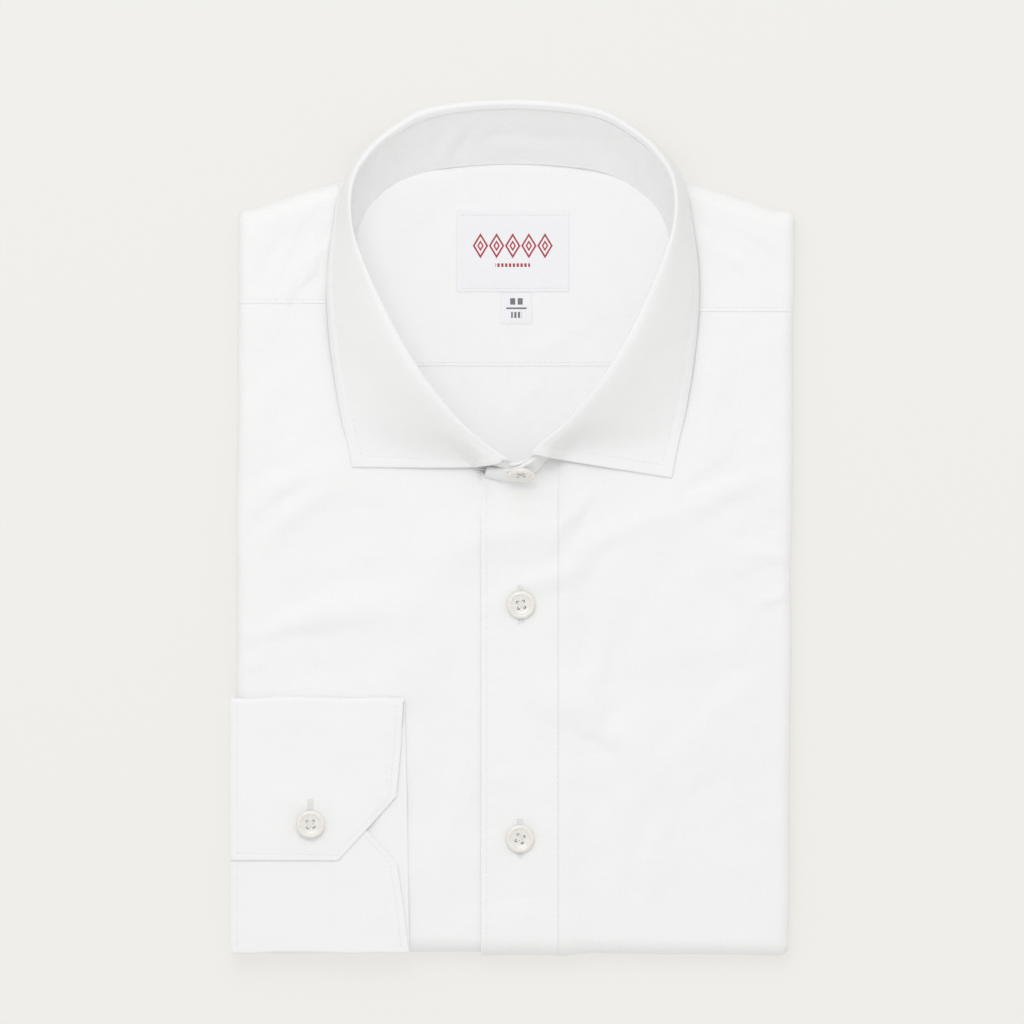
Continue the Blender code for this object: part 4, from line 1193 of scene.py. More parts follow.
def rim_places():
    """Places once round the outline, outermost on the turned cloth, counter-clockwise."""
    reach = TURN_LENGTH
    ys = np.linspace(bottom_limit(np.array([0.0]))[0] - reach, top_limit(np.array([108.0]))[0] + reach, 240)
    right = np.stack([side_limit(1, ys) + reach, ys], axis=-1)
    xs = np.linspace(right[-1, 0], side_limit(-1, ys[-1:])[0] - reach, 180)
    top = np.stack([xs, top_limit(xs) + reach], axis=-1)
    left = np.stack([side_limit(-1, ys[::-1]) - reach, ys[::-1]], axis=-1)
    xs = np.linspace(left[-1, 0], right[0, 0], 180)
    bottom = np.stack([xs, bottom_limit(xs) - reach], axis=-1)
    return np.vstack([right[:-1], top[1:-1], left[:-1], bottom[1:-1]])


def folded_stack():
    """The hidden layers as one closed body, with the edges of the lower folds showing at the sides."""
    places = rim_places()
    cx, cy, out_x, out_y, _, radius, _, at_end = edge_frame(places[:, 0], places[:, 1])
    along = run_of(places)
    face = SIDE_RADIUS + PANEL_TOP
    rings = []
    for share in (0.0, 0.2, 0.45, 0.7, 0.9, 1.0):
        angle = np.radians(mix(SIDE_TURN, END_TURN, at_end)) * share
        arm, drop = (radius - 0.15) * np.sin(angle), radius - (radius - 0.15) * np.cos(angle)
        rings.append((arm, core_top(cx, cy) - 0.15 - drop))
    count = 7 * len(LOWER_FOLDS)
    step = 0
    for number, (level, half, inset) in enumerate(LOWER_FOLDS):
        edge = face - inset - layer_edge(along, number)
        for share in (1.0, 0.98, 0.7, 0.0, -0.7, -0.98, -1.0):
            bulge = math.sqrt(max(1.0 - share * share, 0.0))
            deep = 2.6 if abs(share) == 1.0 else 0.0
            side_arm = edge - half + half * bulge - deep
            side_z = level + half * share * (0.97 if abs(share) < 1.0 else 1.0)
            run = step / (count - 1)
            end_arm = mix(0.0, -END_TUCK - 6.0, min(run * 1.4, 1.0))
            end_z = mix(core_top(cx, cy) - 2.0 * radius + 0.1, 0.0, ease((run - 0.72) / 0.28))
            rings.append((mix(side_arm, end_arm, at_end), mix(side_z, end_z, at_end)))
            step += 1
    points = [np.stack([cx + out_x * arm, cy + out_y * arm, np.maximum(z, 0.0)], axis=-1) for arm, z in rings]
    middle = np.array([0.0, -10.0])
    inner_top, inner_low = [], []
    for share in (0.97, 0.9, 0.8, 0.7, 0.6, 0.5, 0.4, 0.3, 0.2, 0.1, 0.02):
        flat = mix(middle, np.stack([cx, cy], axis=-1), share)
        inner_top.append(np.column_stack([flat, core_top(flat[:, 0], flat[:, 1]) - 0.35]))
        low = mix(middle, points[-1][:, :2], share)
        inner_low.append(np.column_stack([low, np.zeros(len(low))]))
    stack = np.array(inner_top[::-1] + points + inner_low)
    rows, columns = stack.shape[:2]
    index = np.arange(rows * columns).reshape(rows, columns)
    faces = cells(np.hstack([index, index[:, :1]]))
    caps = [[rows * columns, index[0, (k + 1) % columns], index[0, k]] for k in range(columns)]
    caps += [[rows * columns + 1, index[-1, k], index[-1, (k + 1) % columns]] for k in range(columns)]
    triangles = np.vstack([faces[:, [0, 1, 2]], faces[:, [0, 2, 3]], caps])
    ends = np.array([[*middle, core_top(*middle) - 0.35], [*middle, 0.0]])
    flat_points = np.vstack([stack.reshape(-1, 3), ends])
    uv = np.column_stack([flat_points[:, 0], flat_points[:, 1] + 2.0 * flat_points[:, 2]])
    ob = place_mesh("folded_stack", flat_points, triangles, uv, shirt_cloth())
    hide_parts("folded_layers")
    return ob


# --- Collar ----------------------------------------------------------------------------------------


def mirrored(row):
    flipped = list(row)
    for index in (0, 2, 5):
        if index < len(flipped):
            flipped[index] = -flipped[index]
    return flipped


def even_sections(rows, step, by):
    """The collar's sections a step apart, measured along the columns named by a slice."""
    dense = smooth_through(rows, DENSE)
    run = run_of(dense[:, by])
    lengths = spaced(0.0, run[-1], step, RIM)
    return np.stack([np.interp(lengths, run, dense[:, k]) for k in range(dense.shape[1])], axis=-1), lengths


def way_out(places):
    """Unit vectors across a plan curve that runs clockwise round the neck, pointing away from it."""
    ahead = np.gradient(places, axis=0)
    return unit(np.stack([-ahead[:, 1], ahead[:, 0]], axis=-1))


def fold_frames(sections):
    """At each section: the fold's crest, the way down to the seam inside it, and the way out."""
    fold = sections[:, 2:5].copy()
    fold[:, :2] *= 1.0 - FOLD_DRAW_IN
    foot = np.column_stack([sections[:, :2], core_top(sections[:, 0], sections[:, 1]) + STAND_LIFT])
    out = np.column_stack([way_out(fold[:, :2]), np.zeros(len(fold))])
    return fold, foot, unit(foot - fold), out


def quadratic(start, pull, end, t):
    return (1.0 - t) ** 2 * start + 2.0 * t * (1.0 - t) * pull + t**2 * end


def cubic(start, first_pull, last_pull, end, t):
    return mix(quadratic(start, first_pull, last_pull, t), quadratic(first_pull, last_pull, end, t), t)


def fall_profile(sections):
    """Middle line of the fall at each section, from the seam inside, over the fold, to its edge."""
    fold, _, down, out = fold_frames(sections)
    edge, roll = sections[:, 5:8], sections[:, 8:9]
    shoulder = fold.copy()
    shoulder[:, :2] += (edge - fold)[:, :2] * LEAF_RISE + out[:, :2] * roll * 2.0 * ROLL_SHARE
    run = run_of(fold)
    from_end = np.minimum(run, run[-1] - run)
    shoulder[:, 2] -= mix(LEAF_END_DROP, LEAF_SHOULDER_DROP, ease(from_end / LEAF_END_REACH))
    ahead = unit(shoulder - fold)
    roll_size = mix(ROLL_FRONT, ROLL, past(from_end, ROLL_CHANGE))[:, None]
    in_front = (1.0 - past(from_end, FRONT_CHANGE))[:, None]
    level = unit(mix(ahead, unit(ahead * np.array([1.0, 1.0, FRONT_LEVEL])), in_front))
    crest = fold - 0.25 * roll_size * (down + level)
    crest[:, 2] -= FOLD_SINK
    lines = []
    inner_end = crest + down * SEAM_BELOW_FOLD
    roll_start, start = crest + down * roll_size * INNER_ROLL_SHARE, crest + level * roll_size
    for t in (0.0, 0.04, 0.12, 0.3, 0.65):
        lines.append(mix(inner_end, roll_start, t))
    for t in np.linspace(0.0, 1.0, 12)[:-1]:
        lines.append(quadratic(roll_start, crest, start, t))
    first_pull = mix(mix(start, shoulder, 2.0 / 3.0), start + level * roll_size * 1.6, in_front)
    last_pull = mix(edge, shoulder, 2.0 / 3.0)
    flat = np.linspace(0.0, 1.0, 62)[:-1]
    near_edge = 1.0 - 0.012 * np.array([0.62, 0.34, 0.14, 0.04, 0.0])
    for t in np.concatenate([flat, near_edge]):
        line = cubic(start, first_pull, last_pull, edge, t)
        bow = np.where(sections[:, 0] < 0.0, LEAF_BOW[-1], LEAF_BOW[1])
        bow = bow * swell(from_end, LEAF_BOW_REACH)
        line[:, 1] -= bow * (t * (1.0 - t) * 4.0) ** 0.8 * (1.2 - 0.9 * t)
        lines.append(line)
    return np.array(lines)


def collar_leaves():
    """The turned-down collar with its two leaves, as one sheet from its inner seam to its edge."""
    left = [LEAF_END[-1]] + [mirrored(row) for row in COLLAR_HALF[::-1]]
    rows = np.array(left + [COLLAR_BACK] + list(COLLAR_HALF) + [LEAF_END[1]])
    sections, lengths = even_sections(rows, 1.15, slice(2, 5))
    middle = fall_profile(sections)
    from_edge = np.linalg.norm(np.diff(middle, axis=0), axis=-1)[::-1]
    from_edge = np.pad(np.cumsum(from_edge, axis=0), ((1, 0), (0, 0)))[::-1]
    end_run = np.minimum(lengths, lengths[-1] - lengths)
    span = np.linalg.norm(np.diff(middle, axis=1), axis=-1)
    from_left = np.pad(np.cumsum(span, axis=1), ((0, 0), (1, 0)))
    from_end = np.minimum(from_left, from_left[:, -1:] - from_left)
    margin = np.minimum(from_edge, from_end)
    normals = grid_normals(middle)
    if normals[len(middle) // 2, 0, 2] < 0.0:
        normals = -normals
    puff = LEAF_EDGE_PUFF * swell(margin - LEAF_STITCH / 2.0, 1.6)
    dip = LEAF_STITCH_DIP * swell(margin - LEAF_STITCH, 0.55)
    along, across = np.broadcast_arrays(lengths[None, :], from_edge)
    soft = 0.8 * waves(9, along * 0.8, across * 1.2)
    pull = 0.25 * swell(from_end, 14.0) * np.sin(from_edge / 9.0)
    sag = ease(from_edge / 6.0) * ease(from_end / 6.0)
    left_half = (lengths < lengths[-1] / 2.0)[None, :]
    ridge = np.where(left_half, 0.35, 0.1) * swell(from_edge - 3.0, 1.3) * ease(from_end / 8.0)
    leaf_side = ease((end_run[None, :] - 4.0) / 6.0) * ease((190.0 - end_run[None, :]) / 30.0)
    relief = puff - dip + soft * sag + pull * sag + ridge * leaf_side
    middle = middle + normals * relief[..., None]
    plan = sections[None, :, 2:4]
    from_fold = np.linalg.norm(middle[..., :2] - plan, axis=-1)
    middle = rested(middle, COLLAR_CLOTH / 2.0 + LEAF_CLEAR, from_end, from_fold)
    over, under = rounding(middle, RIM, flush=("first_row",))
    upper, lower = walled(middle, normals, over, under, COLLAR_CLOTH)
    uv = np.stack([along, -from_edge], axis=-1)
    ob = shell("collar_leaves", upper, lower, uv, collar_cloth())
    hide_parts("collar_fall")
    return ob, upper, lower, middle


def rested(points, clear, from_end, from_fold):
    """The leaves let down until their outer edges rest on the body, and nowhere closer to it."""
    x, y, z = points[..., 0], points[..., 1], points[..., 2]
    floor = shape(x, y, PANEL_TOP + front_relief(x, y) + YOKE_LIFT * (y > YOKE_LIFT_Y))[..., 2] + clear
    on_body = (y < LEAF_BODY_Y) & (np.abs(x) < FLAT_HALF_WIDTH)
    low = np.clip((LEAF_SETTLE_HEIGHT - (z - floor)) / LEAF_SETTLE_HEIGHT, 0.0, 1.0)
    settled = z - LEAF_SETTLE * low * low * ease((140.0 - y) / 16.0)
    from_band = np.maximum(np.abs(x - BAND_END_X) - BAND_END_REACH, 0.0)
    floor = np.where(y < 40.0, np.maximum(floor, BAND_END_TOP - BAND_END_SLOPE * from_band), floor)
    near_end = swell(from_end, LEAF_END_SETTLE_REACH) * past(from_fold, LEAF_END_SETTLE_FROM)
    settled = settled - LEAF_END_SETTLE * near_end * on_body * np.maximum(settled - floor, 0.0)
    points[..., 2] = np.where(on_body, np.maximum(settled, floor), settled)
    return points


def leaf_stitches(walls):
    """Topstitch round the leaves, at an even distance from their ends and their outer edge."""
    points, normals, run = wall_line(walls, LEAF_STITCH, True)
    keep = (run > LEAF_STITCH) & (run < run[-1] - LEAF_STITCH)
    lines = [(points[keep], normals[keep])]
    for from_end in (False, True):
        points, normals, run = wall_line(walls, LEAF_STITCH, from_end, turned=True)
        keep = (run > LEAF_STITCH + 0.5) & (run < run[-1] - LEAF_STITCH)
        lines.append((points[keep], normals[keep]))
    return seam_stitches("leaf_stitches", lines)


def collar_band():
    """The collar stand: its ends pass each other at the collar button."""
    left = [LEAF_END[-1][:5]] + [mirrored(row[:5]) for row in COLLAR_HALF[::-1]]
    body = left + [COLLAR_BACK[:5]] + [row[:5] for row in COLLAR_HALF] + [LEAF_END[1][:5]]
    rows = np.vstack([np.array(UNDER_BAND)[::-1], np.array(body), np.array(OVER_BAND)])
    sections, lengths = even_sections(rows, 1.2, slice(2, 5))
    fold, foot, down, _ = fold_frames(sections)
    inside = -way_out(sections[:, 2:4])
    top = fold + down * (SEAM_BELOW_FOLD + STAND_BELOW_SEAM)
    top[:, 2] -= 0.3
    share = spaced(0.0, 1.0, 1.15 / 27.0, RIM / 27.0)[:, None, None]
    middle = mix(foot[None], top[None], share)
    normals = grid_normals(middle)
    facing = (normals[len(middle) // 2, :, :2] * inside).sum(axis=-1)
    normals = normals * np.where(facing.mean() < 0.0, -1.0, 1.0)
    bow = -STAND_BULGE * np.sin(math.pi * share[..., 0])
    height = np.linalg.norm(middle - foot[None], axis=-1)
    along = np.broadcast_to(lengths[None, :], height.shape)
    plan_x = sections[:, 0][None, :]
    behind = ease((sections[:, 1][None, :] - 118.0) / 16.0)
    wrinkle = creases(STAND_CREASES, plan_x + 0.0 * height, height)
    relief = bow + behind * wrinkle + 0.8 * waves(13, along, height * 1.3) * np.sin(math.pi * share[..., 0])
    relief = relief - 0.18 * swell(height - 2.0, 0.5)
    middle = middle + normals * relief[..., None]
    over, under = rounding(middle, 0.3, flush=("last_row",))
    upper, lower = walled(middle, normals, over, under, COLLAR_CLOTH)
    uv = np.stack([along, height], axis=-1)
    ob = shell("collar_band", upper, lower, uv, collar_cloth())
    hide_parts("collar_stand")
    return ob, upper, lower, middle


# Wrinkles of the stand's inner face, over its back: x, height up the stand, as in the other tables
STAND_CREASES = (
    (-26.0, 11.0, 70.0, 9.0, 3.2, 0.7, 0.4),
    (-20.0, 12.0, 62.0, 9.0, 2.6, -0.6, 0.0),
    (-33.0, 9.0, 80.0, 8.0, 3.0, -0.5, 0.0),
    (-8.0, 14.0, 20.0, 12.0, 3.4, -0.4, 0.0),
    (6.0, 9.0, -8.0, 14.0, 3.6, 0.45, 0.0),
    (18.0, 15.0, 12.0, 12.0, 3.2, -0.35, 0.0),
    (38.0, 12.0, 96.0, 9.0, 3.4, -0.45, 0.0),
    (50.0, 12.0, 106.0, 10.0, 2.8, 0.65, 0.3),
    (55.0, 11.0, 100.0, 10.0, 2.6, -0.6, 0.0),
    (60.0, 12.0, 96.0, 10.0, 2.4, 0.5, 0.0),
    (-52.0, 12.0, 80.0, 9.0, 3.0, 0.45, 0.0),
    (-58.0, 13.0, 86.0, 9.0, 2.6, -0.4, 0.0),
)


def band_stitches(upper, lower, middle):
    """Stitches along the stand's foot, on its inner face and, past the leaves, on its front."""
    rows = rows_at(middle, 2.0, from_end=False)
    inner, normals = grid_line(upper, lower, rows)
    outer, back_normals = grid_line(lower, upper, rows)
    run = run_of(outer)
    front_end = run > run[-1] - 30.0
    return seam_stitches(
        "band_stitches", [(inner, normals), (outer[front_end], back_normals[front_end])]
    )


# --- Cuff and sleeve -------------------------------------------------------------------------------


def on_top(x, y, height):
    """The point at this height over the body's flat top, kept straight past its rounded edges."""
    cx, cy = limits(x, y)
    return np.stack([x, y, core_top(cx, cy) + height], axis=-1)


def cuff_line():
    """Rows along the cuff's cloth: y, height, right end and the length of cloth so far."""
    def flat(rows, level):
        rows = np.array(rows)
        return np.column_stack([rows[:, 0], np.full(len(rows), level), rows[:, 1]])

    def bend(y, low, high, outwards, right):
        angles = np.linspace(-90.0, 90.0, 11)[1:-1]
        radius, level = (high - low) / 2.0, (high + low) / 2.0
        ys = y + outwards * abs(radius) * 1.25 * np.cos(np.radians(angles))
        return np.column_stack([ys, level + radius * np.sin(np.radians(angles)), np.full(len(ys), right)])

    back, under, over = CUFF_LEVELS
    rows = np.vstack([
        flat(CUFF_UNDER_END, under),
        bend(-175.4, under, back, -1.0, -43.1),
        flat(CUFF_BACK, back),
        bend(-72.4, back, over, 1.0, -45.1),
        flat(CUFF_OVER_END, over),
    ])
    run = run_of(rows[:, :2])
    lengths = np.unique(np.concatenate([spaced(0.0, run[-1], 1.2, RIM), run]).round(4))
    lengths = lengths[np.concatenate([[True], np.diff(lengths) > 0.03])]
    lengths[-1] = run[-1]
    return np.column_stack([at_line(rows, run, lengths), lengths])


def at_line(rows, run, lengths):
    return np.stack([np.interp(lengths, run, rows[:, k]) for k in range(rows.shape[1])], axis=-1)


def barrel_cuff():
    """The barrel cuff: a flattened loop whose mitred ends pass each other at the cuff button."""
    line = cuff_line()
    ys, heights, rights, lengths = line.T
    share = spaced(0.0, 1.0, 1.2 / 72.0, RIM / 72.0)
    total = lengths[-1]
    hidden = past(lengths, CUFF_HIDDEN_FROM) * ease((total - 67.0 - lengths) / 2.0)
    covered = 1.0 - past(lengths, CUFF_SHOWN_FROM)
    left = mix(CUFF_LEFT_X, CUFF_HIDDEN_LEFT_X, np.maximum(hidden, covered))[:, None]
    x = mix(left, rights[:, None], share)
    y = np.repeat(ys[:, None], len(share), axis=1)
    y = y + 0.45 * wobble(61, x, 60.0) * ease((np.abs(y + 124.0) - 20.0) / 20.0)
    height = np.repeat(heights[:, None], len(share), axis=1)
    flat_run = np.repeat(lengths[:, None], len(share), axis=1)
    middle = on_top(x, y, height)
    edge = border_distance(middle)
    on_over = lengths[:, None] > total - 68.0
    stitched = np.minimum(edge, np.abs(x - CUFF_LEFT_X))
    soft = waves(17, x, flat_run) * 0.55 + creases(CUFF_CREASES, x, y) * on_over
    relief = soft * ease(edge / 8.0) + 0.16 * swell(stitched - 1.4, 1.0)
    relief = relief - 0.2 * swell(stitched - CUFF_STITCH, 0.5)
    shown_under = (lengths[:, None] > 29.0) & (lengths[:, None] < 60.0)
    relief = np.where(on_over | shown_under, np.maximum(relief, -0.04), np.clip(relief, -0.04, 0.04))
    centre = np.hypot(x - CUFF_BUTTON[0], y - CUFF_BUTTON[1])
    relief = relief + on_over * CUFF_BULGE * (1.0 - ease(centre / CUFF_BULGE_REACH)) * ease(edge / 9.0)
    droop = on_over * (1.0 - ease(edge / 7.0)) * ease((x + 112.0) / 8.0)
    off_underlap = past(x, CUFF_OFF_UNDERLAP) * past(-y, CUFF_OFF_FOLD)
    relief = relief - droop * (0.1 + 0.9 * off_underlap)
    middle[..., 2] += relief - CUFF_LEFT_CURL * (1.0 - ease((x - CUFF_LEFT_X) / 2.6)) ** 2
    normals = grid_normals(middle)
    upper, lower = walled(middle, normals, *rounding(middle, CUFF_RIM), CUFF)
    if upper[-10, len(share) // 2, 2] < lower[-10, len(share) // 2, 2]:
        upper, lower = lower, upper
    uv = np.stack([x, flat_run], axis=-1)
    ob = shell("barrel_cuff", upper, lower, uv, shirt_cloth())
    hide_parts("cuff")
    return ob, upper, lower, middle


# Creases of the cuff's over end
CUFF_CREASES = (
    (-92.0, -92.0, 24.0, 16.0, 4.5, -0.3, 0.3),
    (-76.0, -84.0, -32.0, 14.0, 4.0, 0.28, 0.0),
    (-68.0, -106.0, 58.0, 14.0, 4.0, -0.26, 0.0),
    (-102.0, -118.0, -12.0, 12.0, 4.0, -0.3, 0.0),
    (-98.0, -110.0, -20.0, 14.0, 4.0, 0.28, 0.3),
    (-58.0, -90.0, 80.0, 14.0, 4.0, 0.24, 0.0),
)


def cuff_stitches(walls):
    """Topstitch round the cuff: both mitred ends, the hand edge and the sleeve seam."""
    lines = []
    for from_end in (False, True):
        points, normals, _ = wall_line(walls, CUFF_STITCH, from_end)
        lines.append((points[6:-6], normals[6:-6]))
    for from_end in (False, True):
        points, normals, run = wall_line(walls, CUFF_STITCH, from_end, turned=True)
        inside = (run > CUFF_STITCH) & (run < run[-1] - CUFF_STITCH) & (normals[:, 2] > 0.6)
        for part in (run < run[-1] * 0.36, run > run[-1] * 0.66):
            keep = inside & part
            if keep.sum() > 4:
                lines.append((points[keep], normals[keep]))
    return seam_stitches("cuff_stitches", lines)


def sleeve_end():
    """The right sleeve where it comes round the side, gathered in soft pleats below the cuff."""
    profile = smooth_through(SLEEVE_PROFILE, 8)
    run = run_of(profile)
    lengths = spaced(0.0, run[-1], 0.9, RIM)
    profile = at_line(profile, run, lengths)
    ys = spaced(SLEEVE_TOP_Y, SLEEVE_BOTTOM_Y, 1.2, RIM)
    x = np.repeat(profile[:, :1], len(ys), axis=1)
    z = np.repeat(profile[:, 1:2], len(ys), axis=1)
    y = np.repeat(ys[None], len(profile), axis=0)
    share = (lengths / lengths[-1])[:, None]
    z = z - SLEEVE_STEP * ease((-131.0 - y) / 3.5) * (1.0 - ease(share / 0.5))
    depth = np.zeros_like(x)
    for place, width, deep in SLEEVE_PLEATS:
        centre = place + 5.0 * share * math.sin(place)
        depth += deep * swell(y - centre, width) * ease(share / 0.25)
    x = x + (0.6 * depth + 0.3 * waves(23, y, z)) * np.sin(math.pi * share)
    middle = np.stack([x, y, np.maximum(z, SLEEVE / 2.0)], axis=-1)
    normals = grid_normals(middle)
    if normals[len(x) // 2, 0, 0] > 0.0:
        normals = -normals
    upper, lower = walled(middle, normals, *rounding(middle, RIM), SLEEVE)
    uv = np.stack([np.repeat(lengths[:, None], len(ys), axis=1), y], axis=-1)
    ob = shell("sleeve_end", upper, lower, uv, shirt_cloth())
    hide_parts("sleeve_wrap")
    return ob, middle


# --- Buttons and labels ----------------------------------------------------------------------------


def solid_of(name, points, faces):
    mesh = bpy.data.meshes.new(name)
    mesh.from_pydata([tuple(float(c) * MM for c in p) for p in points], [], faces)
    mesh.update()
    ob = bpy.data.objects.new(name, mesh)
    bpy.context.scene.collection.objects.link(ob)
    return ob


def turned_disc(profile, sides):
    """Points and faces of a closed disc turned from a profile that starts and ends on its axis."""
    points, faces = [(0.0, 0.0, profile[0][1])], []
    inner = profile[1:-1]
    for radius, z in inner:
        for k in range(sides):
            angle = 2.0 * math.pi * k / sides
            points.append((radius * math.cos(angle), radius * math.sin(angle), z))
    points.append((0.0, 0.0, profile[-1][1]))
    for k in range(sides):
        n = (k + 1) % sides
        faces.append((0, 1 + n, 1 + k))
        for ring in range(len(inner) - 1):
            a, b = 1 + ring * sides + k, 1 + ring * sides + n
            faces.append((a, b, b + sides, a + sides))
        last = 1 + (len(inner) - 1) * sides
        faces.append((last + k, last + n, len(points) - 1))
    return points, faces


def button_mesh():
    """A turned shell button with a raised rim, its four holes cut through."""
    spots = [(sx * HOLE_SPACING, sy * HOLE_SPACING) for sx in (-1, 1) for sy in (-1, 1)]
    blank = solid_of("button_blank", *turned_disc(BUTTON_PROFILE, BUTTON_SIDES))
    drill_points, drill_faces = [], []
    for px, py in spots:
        bore = ((0.0, -1.0), (HOLE_RADIUS, -1.0), (HOLE_RADIUS, 3.0), (0.0, 3.0))
        points, faces = turned_disc(bore, HOLE_SIDES)
        start = len(drill_points)
        drill_points += [(px + p[0], py + p[1], p[2]) for p in points]
        drill_faces += [tuple(start + i for i in f) for f in faces]
    drill = solid_of("button_drill", drill_points, drill_faces)
    cut = blank.modifiers.new("holes", "BOOLEAN")
    cut.operation = "DIFFERENCE"
    cut.object = drill
    bpy.context.view_layer.update()
    evaluated = blank.evaluated_get(bpy.context.evaluated_depsgraph_get())
    mesh = bpy.data.meshes.new_from_object(evaluated)
    for ob in (blank, drill):
        bpy.data.objects.remove(ob, do_unlink=True)
    place = np.zeros(len(mesh.vertices) * 3)
    mesh.vertices.foreach_get("co", place)
    corners = np.zeros(len(mesh.loops), np.int32)
    mesh.loops.foreach_get("vertex_index", corners)
    layer = mesh.uv_layers.new(name="cloth")
    layer.data.foreach_set("uv", place.reshape(-1, 3)[corners][:, :2].astype(np.float32).ravel())
    mesh.shade_smooth()
    mesh.set_sharp_from_angle(angle=math.radians(42.0))
    return mesh


def button_threads():
    """Sewing threads of a four-hole button, crossed from hole to hole, and down through the holes."""
    rows = []
    corners = ((-1, -1), (1, 1), (-1, 1), (1, -1))
    spots = [np.array([sx * HOLE_SPACING, sy * HOLE_SPACING, 0.0]) for sx, sy in corners]
    for a, b in ((0, 1), (2, 3)):
        for offset in (-0.2, 0.0, 0.2):
            ahead = unit(spots[b] - spots[a])
            aside = np.array([-ahead[1], ahead[0], 0.0]) * offset
            middle = (spots[a] + spots[b]) / 2.0 + aside + np.array([0.0, 0.0, 1.78])
            half = np.linalg.norm(spots[b] - spots[a]) / 2.0 - 0.05
            rows.append(np.concatenate([middle, ahead, (0.0, 0.0, 1.0), [half, 0.17]]))
    for spot in spots:
        rows.append(np.concatenate([spot + (0.0, 0.0, 0.75), (0.0, 0.0, 1.0), (1.0, 0.0, 0.0), [1.05, 0.36]]))
    rows.append(np.concatenate([(0.0, 0.0, -0.35), (0.0, 0.0, 1.0), (1.0, 0.0, 0.0), [0.6, 1.0]]))
    return np.array(rows)


def turned_rows(rows, centre, basis):
    """Stitches moved from a button's own frame to its place."""
    found = rows.copy()
    found[:, 0:3] = rows[:, 0:3] @ basis.T + centre
    found[:, 3:6] = rows[:, 3:6] @ basis.T
    found[:, 6:9] = rows[:, 6:9] @ basis.T
    return found


def basis_from(normal, turn):
    """Axes of a button that faces along the normal, turned about it."""
    normal = unit(np.array(normal, float))
    side = unit(np.cross((0.0, 1.0, 0.0) if abs(normal[1]) < 0.9 else (0.0, 0.0, 1.0), normal))
    up = np.cross(normal, side)
    c, s = math.cos(turn), math.sin(turn)
    return np.column_stack([side * c + up * s, up * c - side * s, normal])


def sewn_button(name, node, mesh, centre, normal, turn):
    """A button where the frame holds it, with its threads."""
    basis = basis_from(normal, turn)
    own = mesh.copy()
    own.name = name
    place = np.zeros(len(own.vertices) * 3)
    own.vertices.foreach_get("co", place)
    place = place.reshape(-1, 3) @ basis.T + np.array(centre) * MM
    own.vertices.foreach_set("co", place.astype(np.float32).ravel())
    look = bpy.context.scene.shirt_buttons
    tints = tuple(look.colour), tuple(look.blush), tuple(look.moss)
    pearl = kept_material("shell_pearl", pearl_material, *tints)
    own.materials.clear()
    own.materials.append(pearl)
    own.update()
    ob = bpy.data.objects.new(name, own)
    bpy.context.scene.collection.objects.link(ob)
    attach(ob, BODY)
    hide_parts(node)
    rows = turned_rows(button_threads(), np.array(centre, float), basis)
    thread_mesh(name + "_threads", rows, flatness=1.0)
    return ob


def middle_of(node):
    low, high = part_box(node)
    return (np.array(low) + np.array(high)) / 2.0 / MM, np.array(low) / MM, np.array(high) / MM


def flat_label(name, node, material, margin):
    """A woven label where the frame holds it, its edges a little uneven."""
    _, low, high = middle_of(node)
    xs = spaced(low[0], high[0], 0.9, LABEL_RIM)
    ys = spaced(low[1], high[1], 0.9, LABEL_RIM)
    x, y = np.meshgrid(xs, ys)
    base = inside_relief(x, y) + LAP_STEP
    edge = np.minimum(np.minimum(x - low[0], high[0] - x), np.minimum(y - low[1], high[1] - y))
    lift = base + 0.15 * ease(edge / 6.0) - 0.06 * swell(edge - margin, 0.4)
    level = (LABEL_BASE + LABEL_TOP) / 2.0 + lift
    middle = shape(x, y, level)
    full = rounding(middle, LABEL_RIM)[0] * (LABEL_TOP - LABEL_BASE) / 2.0
    uv = np.stack([x - (low[0] + high[0]) / 2.0, y - (low[1] + high[1]) / 2.0], axis=-1)
    ob = shell(name, shape(x, y, level + full), shape(x, y, level - full), uv, material)
    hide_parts(node)
    return ob, middle


def label_line(x, y):
    return line_on_body(x, y, LABEL_TOP + inside_relief(x, y) + LAP_STEP + 0.06)


# --- Settings --------------------------------------------------------------------------------------


def colour_setting(name, description, default):
    return bpy.props.FloatVectorProperty(
        name=name, description=description, subtype="COLOR", size=3, min=0.0, max=1.0, default=default
    )


def length_setting(name, description, default, low, high):
    return bpy.props.FloatProperty(
        name=name, description=description, subtype="DISTANCE", unit="LENGTH", default=default,
        min=low, max=high, precision=5,
    )


class ShirtCloth(bpy.types.PropertyGroup):
    """Cloth and sewing"""

    colour: colour_setting("Cloth", "Colour of the shirt's cotton", (0.896, 0.896, 0.896))
    collar_colour: colour_setting("Collar", "Colour of the collar's stiffened cotton", (0.886, 0.886, 0.886))
    thread_colour: colour_setting("Sewing thread", "Colour of the sewing thread", (0.88, 0.88, 0.88))
    thread_pitch: length_setting(
        "Weave pitch", "Distance from one thread of the weave to the next", 0.0003, 0.0001, 0.002
    )
    crease_share: bpy.props.FloatProperty(
        name="Creases", description="Height of the creases, as a share of their full height",
        default=1.0, min=0.0, max=1.5,
    )
    stitch_length: length_setting(
        "Stitch length", "Length of thread that shows in one stitch", 0.0018, 0.0005, 0.006
    )
    stitch_pitch: length_setting("Stitch spacing", "From one stitch to the next", 0.0023, 0.001, 0.008)
    thread_width: length_setting("Thread width", "Width of the sewing thread", 0.00036, 0.0001, 0.001)


class ShirtButtons(bpy.types.PropertyGroup):
    """Buttons"""

    colour: colour_setting("Shell", "Main colour of the shell buttons", (0.83, 0.82, 0.76))
    blush: colour_setting("Blush", "Warm tint in the shell", (0.84, 0.75, 0.71))
    moss: colour_setting("Green", "Cool tint in the shell", (0.75, 0.79, 0.72))


